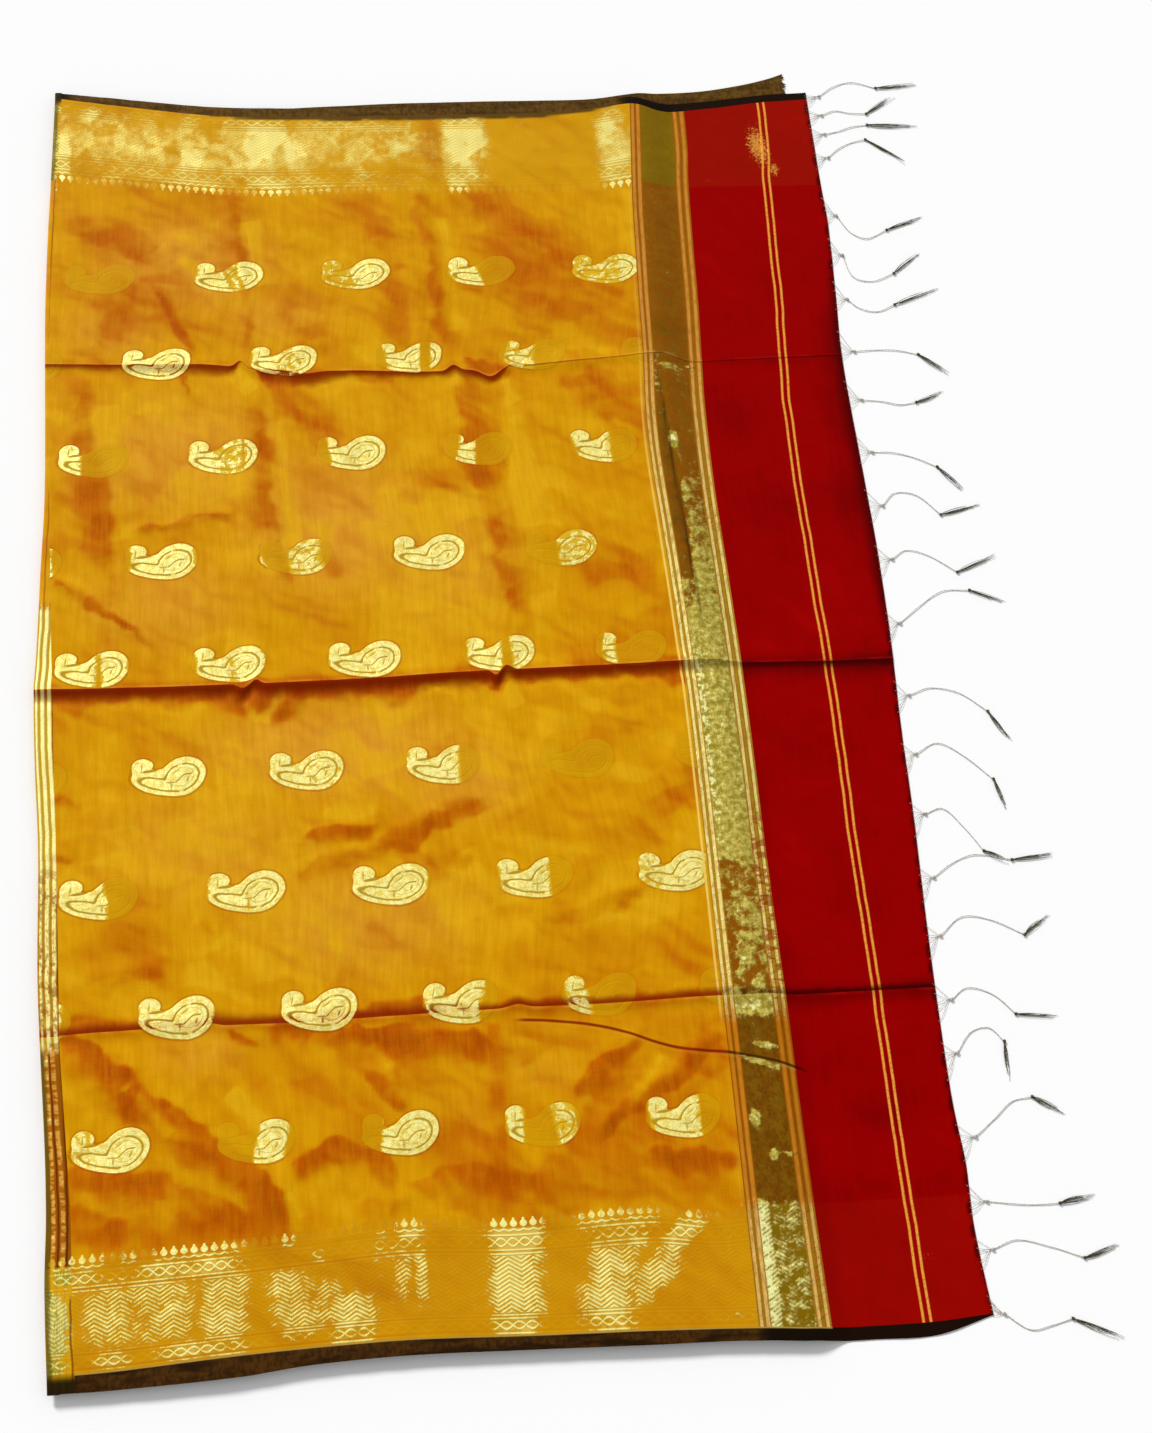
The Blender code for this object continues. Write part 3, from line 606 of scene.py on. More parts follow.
nearBorderGleams = (
    (34, -484, 16, 9, 0, 0.6), (63, -482, 7, 9, 0, 0.6), (112, -477, 32, 10, 0, 0.95),
    (24, -498, 18, 10, 0, 0.6), (106, -494, 40, 8, 0, 0.85), (132, -522, 18, 28, 0, 0.95),
    (86, -520, 26, 26, 0, 0.72), (48, -522, 20, 28, 0, 0.66), (50, -556, 14, 7, 0, 0.8),
    (116, -554, 34, 6, 0, 0.8), (180, -522, 17, 22, 0, 0.72), (190, -540, 22, 10, 20, 0.7),
    (180, -477, 5, 8, 0, 0.6), (202, -492, 6, 7, 0, 0.45), (226, -536, 17, 17, 0, 0.8),
    (224, -556, 18, 6, 0, 0.75), (206, -520, 8, 14, -30, 0.5), (270, -476, 11, 9, 0, 0.85),
    (258, -492, 18, 7, 0, 0.45), (263, -508, 7, 22, -10, 0.55), (277, -510, 5, 24, 0, 0.65),
    (249, -480, 5, 7, 0, 0.5), (349, -484, 21, 24, 0, 1.1), (347, -522, 20, 24, 0, 1.15),
    (344, -550, 17, 12, -10, 0.95), (426, -478, 31, 9, 0, 0.75), (428, -494, 24, 8, 0, 0.8),
    (420, -516, 19, 20, 0, 1.1), (412, -540, 20, 18, 0, 1.05), (448, -524, 12, 26, -48, 0.9),
    (474, -492, 9, 26, -48, 0.8), (420, -556, 16, 6, 0, 0.8), (514, -556, 14, 4, 0, 0.3),
)
# Rows of paisleys: v, u of the first one, and the pitch along the row
paisleyRows = (
    (383, 49, 112), (295, 41.5, 109), (200, 42, 109), (100, 41.5, 112), (2, 39.5, 111),
    (-95.5, 45, 110), (-198, 44, 114.5), (-298, 48, 109), (-400, 51.6, 108.5),
)
rowPitch = 98.0
paisleyPitch = 110.0


def stretchMask(u, start, end, soft=7.0):
    return eased((u - start) / soft + 0.5) * eased((end - u) / soft + 0.5)


def spotMask(u, v, spots, power=2):
    # soft oval spots, squarer with a higher power
    total = np.zeros_like(u)
    for cu, cv, ru, rv, turn, amount in spots:
        a, b = turned(u - cu, v - cv, turn)
        total = np.maximum(total, amount * np.exp(-(np.abs(a / ru) ** power + np.abs(b / rv) ** power)))
    return total


def bodyAttributes(u, v):
    gleam = np.zeros_like(u)
    for row, stretches in paisleyGleams.items():
        near = np.abs(v - row) < 30
        for start, end, amount in stretches:
            slant = 5 * waves(u, v, 26, int(start) + 400)
            gleam = np.maximum(gleam, amount * stretchMask(u + slant, start, end) * near)
    return gleam


def bodyPlace(u, v):
    # straightened so that the paisleys lie on an even lattice
    places = [row[0] for row in paisleyRows][::-1]
    across = np.interp(v, places, [rowPitch * k for k in range(-4, 5)])
    across += np.where(v > 383, v - 383, 0) + np.where(v < -400, v + 400, 0)
    first = np.interp(v, places, [row[1] for row in paisleyRows][::-1])
    pitch = np.interp(v, places, [row[2] for row in paisleyRows][::-1])
    return (u - first) / pitch * paisleyPitch, across


def borderAttributes(u, v, gleams):
    power, unevenness = (3, 0.7) if gleams is farBorderGleams else (4, 0.35)
    gleam = spotMask(u, v, gleams, power)
    bentU, bentV = u + 4 * waves(u, v, 14, 61), v + 4 * waves(u, v, 14, 62)
    patches = 0.7 * facets(bentU, bentV, 19, 63, 58, 1.6, 0.1)
    patches = patches + 0.5 * facets(bentU, bentV, 9, 64, -50, 1.5, 0.15)
    return np.maximum(gleam * (1 + unevenness * patches), 0)


print("tables read")


class Wire:
    # a socket of a node tree, so that a pattern can be written as a sum
    def __init__(self, board, socket):
        self.board, self.socket = board, socket

    def __add__(self, other):
        return self.board.calc("ADD", self, other)

    def __sub__(self, other):
        return self.board.calc("SUBTRACT", self, other)

    def __rsub__(self, other):
        return self.board.calc("SUBTRACT", other, self)

    def __mul__(self, other):
        return self.board.calc("MULTIPLY", self, other)

    def __truediv__(self, other):
        return self.board.calc("DIVIDE", self, other)

    def __abs__(self):
        return self.board.calc("ABSOLUTE", self)


class Board:
    # the nodes of one tree
    def __init__(self, tree):
        self.tree = tree
        self.count = 0

    def node(self, kind, given=(), **settings):
        made = self.tree.nodes.new("ShaderNode" + kind)
        made.location = (220 * (self.count % 14), -260 * (self.count // 14))
        self.count += 1
        for key, value in settings.items():
            setattr(made, key, value)
        for key, value in dict(given).items():
            self.feed(made.inputs[key], value)
        return made

    def feed(self, socket, value):
        if isinstance(value, Wire):
            self.tree.links.new(value.socket, socket)
        elif value is not None:
            socket.default_value = value

    def out(self, made, name=0):
        return Wire(self, made.outputs[name])

    def calc(self, operation, *values):
        return self.out(self.node("Math", dict(enumerate(values)), operation=operation))

    def most(self, first, *others):
        for other in others:
            first = self.calc("MAXIMUM", first, other)
        return first

    def least(self, first, *others):
        for other in others:
            first = self.calc("MINIMUM", first, other)
        return first

    def spread(self, value, low, high, outLow=0.0, outHigh=1.0):
        given = {"Value": value, "From Min": low, "From Max": high, "To Min": outLow, "To Max": outHigh}
        return self.out(self.node("MapRange", given, interpolation_type="SMOOTHSTEP"))

    def inside(self, distance, edge, soft):
        # 1 where the distance is under the edge
        return self.spread(distance, edge - soft, edge + soft, 1.0, 0.0)

    def band(self, value, centre, half, soft=0.3):
        return self.inside(abs(value - centre), half, soft)

    def blend(self, share, first, second, kind="MIX"):
        made = self.node("Mix", data_type="RGBA", blend_type=kind)
        for index, value in ((0, share), (6, first), (7, second)):
            if isinstance(value, tuple):
                value = (*toLinear(value), 1)
            self.feed(made.inputs[index], value)
        return Wire(self, made.outputs[2])

    def vector(self, x, y, z=0.37):
        return self.out(self.node("CombineXYZ", {0: x, 1: y, 2: z}))

    def parts(self, vector):
        made = self.node("SeparateXYZ", {0: vector})
        return [self.out(made, k) for k in range(3)]

    def noise(self, vector, scale, detail=2.0, roughness=0.5):
        given = {"Vector": vector, "Scale": scale, "Detail": detail, "Roughness": roughness}
        return self.out(self.node("TexNoise", given))

    def grain(self, x, y, z=0.37, detail=2.0, roughness=0.5):
        # noise that is read at a place of its own
        return self.noise(self.vector(x, y, z), 1.0, detail, roughness)

    def attribute(self, name):
        return self.out(self.node("Attribute", attribute_name=name), "Fac")

    def place(self):
        # the piece's own woven place, in millimetres
        uv = self.node("UVMap", uv_map="weave")
        x, y, _ = self.parts(self.out(uv))
        return x * 1000, y * 1000

    def group(self, tree, **given):
        made = self.node("Group")
        made.node_tree = tree
        for key, value in given.items():
            self.feed(made.inputs[key], value)
        return {socket.name: Wire(self, socket) for socket in made.outputs}


def startGroup(name, numbers):
    tree = bpy.data.node_groups.new(name, "ShaderNodeTree")
    for number, value in numbers.items():
        socket = tree.interface.new_socket(number, in_out="INPUT", socket_type="NodeSocketFloat")
        socket.default_value = value
    board = Board(tree)
    given = board.tree.nodes.new("NodeGroupInput")
    given.location = (-240, 0)
    return board, [Wire(board, given.outputs[number]) for number in numbers]


def endGroup(board, **results):
    for name, wire in results.items():
        kind = "NodeSocketVector" if name == "Normal" else "NodeSocketFloat"
        board.tree.interface.new_socket(name, in_out="OUTPUT", socket_type=kind)
    end = board.tree.nodes.new("NodeGroupOutput")
    end.location = (3200, 0)
    for name, wire in results.items():
        board.tree.links.new(wire.socket, end.inputs[name])
    return board.tree


def ellipse(board, place, x, y, width, height, turn=0.0):
    # about the distance in millimetres from an ellipse's edge, less than 0 inside it
    given = {"Vector": place, "Location": (x, y, 0), "Rotation": (0, 0, math.radians(turn)),
             "Scale": (width, height, 1)}
    mapped = board.node("Mapping", given, vector_type="TEXTURE")
    length = board.node("VectorMath", {0: board.out(mapped)}, operation="LENGTH")
    return (board.out(length, "Value") - 1) * min(width, height)


def smoothLeast(board, first, second, reach):
    return board.calc("SMOOTH_MIN", first, second, reach)


def makePaisley():
    board, (along, across) = startGroup("paisley", {"Along": 0.0, "Across": 0.0})
    row = board.calc("ROUND", across / rowPitch)
    odd = abs(board.calc("MODULO", row, 2.0))
    shifted = along - odd * (paisleyPitch / 2)
    x = shifted - board.calc("ROUND", shifted / paisleyPitch) * paisleyPitch
    y = across - row * rowPitch
    place = board.vector(x, y, 0.0)
    shapes = {
        "body": (10.8, -1.8, 18.4, 15.0, 30),
        "tail": (-9.0, -7.2, 22.0, 10.2, -12),
        "curl": (-21.0, 5.2, 9.0, 8.4, 0),
        "notch": (-7.4, 9.9, 8.8, 5.0, 42),
        "ball": (-17.6, 7.6, 4.7, 4.6, 0),
        "slot": (-15.8, 2.4, 6.8, 1.1, 6),
        "coil": (-21.9, 5.6, 3.8, 0.6, 82),
        "innerBody": (9.8, -3.2, 14.0, 10.4, 26),
        "innerTail": (-9.4, -8.9, 15.4, 4.5, -14),
        "stem": (1.0, -10.6, 0.8, 2.8, 0),
        "bar": (0.9, -7.9, 3.8, 0.7, 0),
        "vein": (14.2, -5.6, 0.8, 2.5, -20),
        "leaf": (5.4, 1.6, 3.6, 0.6, 34),
    }
    uneven = (board.noise(board.vector(along, across, 1.4), 0.22, 2.0, 0.6) - 0.5) * 1.4
    edges = {name: ellipse(board, place, *sizes) for name, sizes in shapes.items()}
    core = smoothLeast(board, edges["body"], edges["tail"], 9.0)
    shape = smoothLeast(board, core, edges["curl"], 4.0)
    shape = board.least(board.most(shape, edges["notch"] * -1), edges["ball"]) + uneven * 0.5
    there = board.spread(abs(row), 4.4, 4.6, 1.0, 0.0)
    silhouette = board.inside(shape, 0.0, 0.3) * there
    rim = board.band(shape, 0.75, 0.55, 0.5) * there
    contour = smoothLeast(board, edges["innerBody"], edges["innerTail"], 5.0) + uneven
    gap = board.band(contour, 0.0, 0.62, 0.4) * board.spread(abs(x - 8.6), 1.2, 2.4, 0.35, 1.0)
    gap = board.most(gap, board.band(contour, -3.0, 0.35, 0.35) * board.spread(x, -4.0, 4.0) * 0.4)
    wander = y + 4.6 - (x - 8) * 0.52 + board.calc("SINE", x * 0.42) * 1.2
    rib = board.band(wander, 0.0, 0.55, 0.35)
    rib = rib * board.spread(x, 3.0, 5.0) * board.spread(x, 17.0, 19.0, 1.0, 0.0)
    lines = [board.inside(edges["slot"], 0.0, 0.35)]
    lines += [board.inside(edges[name], 0.0, 0.35) * 0.75 for name in ("coil", "stem", "bar", "vein", "leaf")]
    cuts = board.most(gap, rib, *lines)
    return endGroup(board, Shape=silhouette, Threads=silhouette * (1 - cuts), Rim=rim)


def makeBorderPattern():
    given = {"Along": 0.0, "Inward": 0.0, "Worn": 0.0}
    board, (along, inward, worn) = startGroup("borderPattern", given)

    def line(centre, half):
        return board.band(inward, centre, half, 0.3)

    def chain(centre, swing, pitch, half):
        wave = abs(board.calc("SINE", along * (math.pi / pitch))) * swing
        return board.band(abs(inward - centre), wave, half, 0.35)

    bend = board.calc("PINGPONG", along, chevron["run"]) * chevron["slope"]
    chevrons = board.calc("FRACT", (inward + bend) / chevron["pitch"])
    chevrons = board.band(chevrons, 0.5, 0.25, 0.11)
    # the amount given washes the chevrons and threads out; on the far border it stands for a painted soft
    # sheen
    chevrons = chevrons * (1 - worn) + worn * 0.62
    chevrons = chevrons * board.spread(inward, 16.2, 17.0) * board.spread(inward, 59.2, 60.0, 1.0, 0.0)
    scallop = inward + abs(board.calc("SINE", along * (math.pi / budPitch))) * 1.3
    scallop = board.band(scallop, 80.2, 0.7, 0.35)
    x = along - board.calc("ROUND", along / budPitch) * budPitch
    place = board.vector(x, inward - 85.0, 0.0)
    bulb = ellipse(board, place, 0, -0.7, 2.7, 2.4)
    bud = smoothLeast(board, bulb, ellipse(board, place, 0, 1.8, 0.9, 2.9), 2.2)
    bud = board.inside(bud, 0.0, 0.35)
    threads = board.most(
        line(1.3, 0.7), chain(7.3, 2.7, 9.5, 0.8), line(12.5, 0.7), line(15.0, 0.6),
        line(61.2, 0.7), line(64.2, 0.6), chain(70.2, 3.0, 9.0, 0.8), line(75.6, 0.7),
    )
    threads = board.most(threads * (1 - worn * 0.4), chevrons, scallop, bud)
    ground = board.most(board.spread(inward, 80.5, 81.5, 1.0, 0.0), threads)
    cuts = board.most(line(3.0, 0.6), line(13.8, 0.5), line(62.7, 0.6))
    return endGroup(board, Threads=threads, Ground=ground, Cuts=cuts)


def makeThreadWeave():
    # uneven slubs that run across the cloth, finer threads both ways, and their height in millimetres
    board, (along, across) = startGroup("threadWeave", {"Along": 0.0, "Across": 0.0})
    slub = board.grain(along * 0.21, across * 0.021, detail=4.0, roughness=0.7)
    warp = board.grain(along * 0.93, across * 0.11, 3.4, roughness=0.6)
    weft = board.grain(along * 0.11, across * 0.93, 7.4, roughness=0.6)
    thread = (warp + weft) * 0.5
    return endGroup(board, Slub=slub, Thread=thread, Height=slub * 0.12 + thread * 0.16)


def makeSilkFolds():
    # soft crumples between the creases: how far each leans from the light, and their height in millimetres
    board, (x, y) = startGroup("silkFolds", {"X": 0.0, "Y": 0.0})
    bent = (board.noise(board.vector(x, y), 0.02, 2.0) - 0.5) * 30
    along = x * 0.82 - y * 0.57 + bent
    across = x * 0.57 + y * 0.82 - bent
    here = board.grain(along * 0.012, across * 0.022, 4.4, roughness=0.55)
    there = board.grain(along * 0.012, (across + 5.0) * 0.022, 4.4, roughness=0.55)
    return endGroup(board, Lean=(there - here) * 2.6, Height=here * 3.0)


def makeCreaseLines():
    # the pressed creases' painted shade as thin dark lines, with a painted lit edge opposite, and one thin
    # crease that wanders off
    numbers = ("Below", "Above", "DarkBelow", "DarkAbove", "X", "Y")
    board, given = startGroup("creaseLines", dict.fromkeys(numbers, farAway))
    below, above, darkBelow, darkAbove, x, y = given
    uneven = board.grain(x * 0.05, y * 0.05, detail=3.0, roughness=0.6)
    broken = board.spread(board.grain(x * 0.07, y * 0.02, 8.4), 0.4, 0.62, 0.1, 1.0)
    lines, edges = [], []
    for away, dark in ((below, darkBelow), (above, darkAbove)):
        reach = dark * (uneven * 7.0 + 1.8)
        lines.append(board.spread(away / reach, 0.25, 2.3, 1.0, 0.0) * board.spread(dark, 0.0, 0.25))
        edges.append(board.spread(away, 0.6, 2.9, 1.0, 0.0) * board.spread(dark, 0.0, 0.3, 0.7, 0.0) * broken)
    curve = board.node("FloatCurve", {"Value": (x - thinCrease["left"]) / thinCrease["length"]})
    spots = thinCrease["spots"]
    points = curve.mapping.curves[0].points
    for number, (along, across) in enumerate(spots):
        if number in (0, len(spots) - 1):
            points[-1 if number else 0].location = (along, across)
        else:
            points.new(along, across)
    curve.mapping.update()
    away = y - (board.out(curve) * thinCrease["width"] + thinCrease["low"])
    span = board.spread(x, thinCrease["left"] + 8, thinCrease["left"] + 20)
    span = span * board.spread(x, thinCrease["end"] - 14, thinCrease["end"], 1.0, 0.0)
    # the wandering crease's painted shade and its painted lit edge
    thin = board.band(away, 0.0, 1.2, 0.6) * span
    lit = board.band(away, -2.4, 1.2, 0.9) * span * 0.3
    return endGroup(board, Line=board.most(*lines, thin), Edge=board.most(*edges, lit))


def makeGlint():
    # where metal thread catches the light, from a painted amount to an uneven mask, crisp or soft
    given = {"X": 0.0, "Y": 0.0, "Amount": 0.0, "Lean": 0.0, "Soft": 0.0}
    board, (x, y, amount, lean, soft) = startGroup("zariGlint", given)
    ragged = board.noise(board.vector(x, y), 0.16, 3.0, 0.62)
    mottle = board.noise(board.vector(x, y, 5.4), 0.75, 3.0, 0.65)
    total = amount + (ragged - 0.5) * (2.2 - soft * 1.7) + (mottle - 0.5) * 0.5 - lean * 0.3
    crisp = board.spread(total, 0.3, 0.56) * board.spread(amount, 0.06, 0.34)
    cloudy = board.spread(total, 0.08, 0.95)
    mask = crisp * (1 - soft) + cloudy * soft
    full = board.spread(total, 0.55, 1.25)
    return endGroup(board, Gleam=mask, Full=full, Mottle=mottle)


def makeStripes():
    # the orange lines on both sides of the zari band
    board, (fromStart, toEnd) = startGroup("bandStripes", {"FromStart": 0.0, "ToEnd": 0.0})
    light = board.most(
        *(board.band(fromStart, at, half, 0.4) for at, half in ((-2.6, 0.9), (2.4, 1.2), (7.4, 1.4))),
        *(board.band(toEnd, at, 1.3, 0.4) for at in (2.9, 9.4)),
        board.band(toEnd, 14.6, 0.8) * 0.4,
    )
    dark = board.most(
        board.band(fromStart, 0.0, 0.75),
        board.band(fromStart, 4.8, 0.8),
        board.band(fromStart, 9.7, 0.6) * 0.8,
        board.band(toEnd, 6.2, 1.2),
        board.band(toEnd, 12.3, 1.1) * 0.8,
        board.band(toEnd, 0.5, 0.6) * 0.8,
    )
    zone = board.most(board.spread(fromStart, 9.2, 10.2, 1.0, 0.0), board.spread(toEnd, 11.6, 12.6, 1.0, 0.0))
    return endGroup(board, Light=light, Dark=dark, Zone=zone)


groups = {
    "paisley": makePaisley(),
    "borderPattern": makeBorderPattern(),
    "weave": makeThreadWeave(),
    "folds": makeSilkFolds(),
    "creases": makeCreaseLines(),
    "glint": makeGlint(),
    "stripes": makeStripes(),
}


class Cloth:
    # a material with what every woven piece shares: its threads, its crumples and the painted shade and lit
    # edges of its pressed creases
    def __init__(self, name, roughness, specular, tint, striped=True):
        self.material = bpy.data.materials.new(name)
        self.material.use_nodes = True
        nodes = self.material.node_tree.nodes
        self.shader = nodes["Principled BSDF"]
        self.shader.location = (3300, 0)
        nodes["Material Output"].location = (3600, 0)
        for key, value in (
            ("Roughness", roughness),
            ("Specular IOR Level", specular),
            ("Specular Tint", (*toLinear(tint), 1)),
        ):
            self.shader.inputs[key].default_value = value
        board = self.board = Board(self.material.node_tree)
        x, y, z = board.parts(board.out(board.node("TexCoord"), "Object"))
        self.x, self.y, self.z = x * 1000 + originShift[0], y * 1000 + originShift[1], z * 1000
        if striped:
            self.along, self.across = board.place()
            self.weave = board.group(groups["weave"], Along=self.along, Across=self.across)
            self.folds = board.group(groups["folds"], X=self.x, Y=self.y)
            self.height = self.weave["Height"] + self.folds["Height"]
            names = ("below", "above", "darkBelow", "darkAbove")
            reach = {name[0].upper() + name[1:]: board.attribute(name) for name in names}
            self.creases = board.group(groups["creases"], X=self.x, Y=self.y, **reach)
            # painted shade of the creases and of what leans from the light, with some random tone
            self.tone = board.attribute("tone")

    def glint(self, soft=0.0):
        shine = self.board.attribute("shine")
        given = {"X": self.x, "Y": self.y, "Amount": shine, "Lean": self.folds["Lean"], "Soft": soft}
        return self.board.group(groups["glint"], **given)

    def silk(self, look):
        # gold threads with a painted peach sheen and painted highlights, and burnt orange painted as shade on
        # whatever leans from the light
        board = self.board
        bloom = board.attribute("bloom")
        slub = self.weave["Slub"] - 0.5
        sheenPeach = board.spread(bloom + slub * 0.7 + self.folds["Lean"] * 0.15, 0.15, 0.8)
        colour = board.blend(sheenPeach, look["gold"], look["sheenPeach"])
        lit = board.spread(self.folds["Lean"] + self.tone * 2, 0.05, -0.6)
        colour = board.blend(lit * 0.75, colour, look["lit"])
        lean = self.folds["Lean"] + self.tone * 1.1 + slub * 0.35
        colour = board.blend(board.spread(lean, -0.1, 0.95), colour, look["orange"])
        colour = board.blend(board.spread(lean, 0.75, 1.4) * 0.6, colour, look["deep"])
        threads = board.spread(self.weave["Thread"] * 0.25 + self.weave["Slub"] * 0.75, 0.34, 0.66)
        colour = board.blend(0.17, colour, board.blend(threads, look["deep"], look["lit"]))
        return colour

    def finish(self, colour, height, metal=None, line=(124, 22, 0), edge=(232, 156, 48)):
        # line is the colour of the creases' painted shade, edge that of their painted lit edge
        board = self.board
        if line:
            colour = board.blend(self.creases["Edge"] * 0.5, colour, edge)
            onSilk = 1 if metal is None else 1 - metal * 0.6
            colour = board.blend(self.creases["Line"] * onSilk * 0.92, colour, line)
        board.feed(self.shader.inputs["Base Color"], colour)
        if metal is not None:
            board.feed(self.shader.inputs["Metallic"], metal * 0.25)
            start = self.shader.inputs["Roughness"].default_value
            board.feed(self.shader.inputs["Roughness"], start - metal * 0.12)
        given = {"Height": height, "Strength": 1.0, "Distance": mm}
        board.feed(self.shader.inputs["Normal"], board.out(board.node("Bump", given)))
        return self.material


# the peach colour is a painted sheen, lit a painted highlight, orange and deep paint the shade (deep also
# darkens the motifs' rims), and zariThread, zariMid, zariHalf and zariGap the zari's painted gleam
bodyLook = {
    "gold": (212, 150, 3),
    "sheenPeach": (218, 152, 38),
    "lit": (224, 170, 18),
    "orange": (186, 88, 0),
    "deep": (152, 54, 0),
    "dullZari": (200, 150, 8),
    "zariThread": (250, 241, 154),
    "zariMid": (230, 206, 92),
    "zariHalf": (216, 176, 30),
    "zariGap": (176, 142, 34),
}


def makeBodyCloth():
    cloth = Cloth("bodyCloth", 0.55, 0.1, (255, 170, 40))
    board = cloth.board
    colour = cloth.silk(bodyLook)
    motif = board.group(groups["paisley"], Along=cloth.along, Across=cloth.across)
    # the motifs' painted gleam: their zari turns pale and bright where shine is painted
    glint = cloth.glint()
    gleam = glint["Gleam"]
    colour = board.blend(motif["Rim"] * (gleam * 0.35 + 0.1), colour, bodyLook["deep"])
    colour = board.blend(motif["Shape"] * 0.6, colour, bodyLook["dullZari"])
    half = board.spread(board.attribute("shine"), 0.05, 0.4)
    colour = board.blend(motif["Threads"] * half, colour, bodyLook["zariHalf"])
    colour = board.blend(motif["Shape"] * gleam * 0.9, colour, bodyLook["zariGap"])
    patch = board.noise(board.vector(cloth.x, cloth.y, 2.4), 0.28, 2.0, 0.6)
    shown = board.spread(glint["Mottle"] * 0.45 + patch * 0.55, 0.4, 0.58)
    bright = board.blend(shown, bodyLook["zariMid"], bodyLook["zariThread"])
    colour = board.blend(motif["Threads"] * gleam, colour, bright)
    stripes = board.group(groups["stripes"], FromStart=board.attribute("fromStart"), ToEnd=100.0)
    colour = board.blend(stripes["Light"] * board.attribute("bandShine"), colour, (240, 205, 100))
    metal = motif["Threads"] * gleam
    height = cloth.height + motif["Threads"] * 0.12
    height = height + glint["Mottle"] * metal * 0.25
    return cloth.finish(colour, height, metal)


# dullDeep is painted shade; groove, grooveLit, thread and threadMid paint the zari's gleam; the far border's
# painted soft sheen blends nearDull towards dull; outerEdge darkens the far border towards its selvedge
borderLook = {
    "dull": (208, 152, 4),
    "nearDull": (197, 136, 2),
    "dullDeep": (188, 122, 2),
    "mid": (222, 184, 62),
    "groove": (190, 140, 12),
    "grooveLit": (222, 186, 78),
    "thread": (250, 241, 150),
    "threadMid": (230, 202, 84),
    "orangeLine": (190, 112, 6),
    "outerEdge": (90, 64, 18),
}


def makeBorderCloth():
    cloth = Cloth("zariBorder", 0.5, 0.12, (255, 190, 60))
    board, look = cloth.board, borderLook
    # the far border's painted soft sheen, which washes its pattern out and its zari paler
    worn = board.attribute("worn")
    crisper = board.spread(board.attribute("shine"), 0.65, 1.0)
    glint = cloth.glint(worn * (0.6 - crisper * 0.4) + 0.35)
    pattern = board.group(groups["borderPattern"], Along=cloth.along, Inward=cloth.across, Worn=worn)
    silk = cloth.silk(bodyLook)
    # painted shade where the border leans from the light
    lean = cloth.folds["Lean"] + cloth.tone * 0.6
    dull = board.blend(worn, look["nearDull"], look["dull"])
    dull = board.blend(board.spread(lean, -0.1, 0.6), dull, look["dullDeep"])
    colour = board.blend(pattern["Ground"] * 0.85, silk, dull)
    colour = board.blend(pattern["Threads"] * 0.07, colour, look["mid"])
    # the zari's painted gleam, in its grooves and on its threads
    groove = board.blend(glint["Full"], look["groove"], look["grooveLit"])
    groove = board.blend(worn * 0.6, groove, look["threadMid"])
    ground = board.most(pattern["Ground"], board.spread(cloth.across, 79.0, 80.0, 1.0, 0.0) * worn)
    colour = board.blend(glint["Gleam"] * ground * 0.85, colour, groove)
    shown = board.spread(glint["Mottle"] + glint["Full"] * 0.35, 0.35, 0.75)
    bright = board.blend(shown, look["threadMid"], look["thread"])
    colour = board.blend(pattern["Threads"] * glint["Gleam"], colour, bright)
    cuts = pattern["Cuts"] * (1 - worn) * board.spread(cloth.along, 300.0, 230.0, 0.15, 0.6)
    colour = board.blend(cuts, colour, look["orangeLine"])
    colour = board.blend(board.attribute("dusk"), colour, look["outerEdge"])
    metal = pattern["Threads"] * glint["Gleam"] * (1 - board.attribute("dusk"))
    height = cloth.height
    height = height + pattern["Threads"] * (glint["Gleam"] * 0.14 + 0.03) + glint["Mottle"] * metal * 0.3
    return cloth.finish(colour, height, metal)


# shade and the stack-edge line's colour are painted shade; olive, oliveDark, oliveSpot and pale are the
# zari's painted gleam, and lineGleam and lineGroove the painted gleam of the lines beside it
bandLook = {
    "green": (118, 96, 3),
    "brown": (130, 74, 2),
    "deepBrown": (98, 58, 3),
    "shade": (72, 48, 3),
    "haze": (150, 112, 14),
    "stackEdgeShade": (56, 32, 4),
    "edge": (168, 100, 10),
    "dashes": (152, 66, 4),
    "lineLight": (192, 114, 15),
    "lineDark": (136, 72, 1),
    "lineGleam": (246, 232, 142),
    "lineGroove": (178, 146, 34),
    "olive": (206, 190, 92),
    "oliveDark": (154, 134, 40),
    "oliveSpot": (104, 86, 16),
    "pale": (240, 238, 166),
}


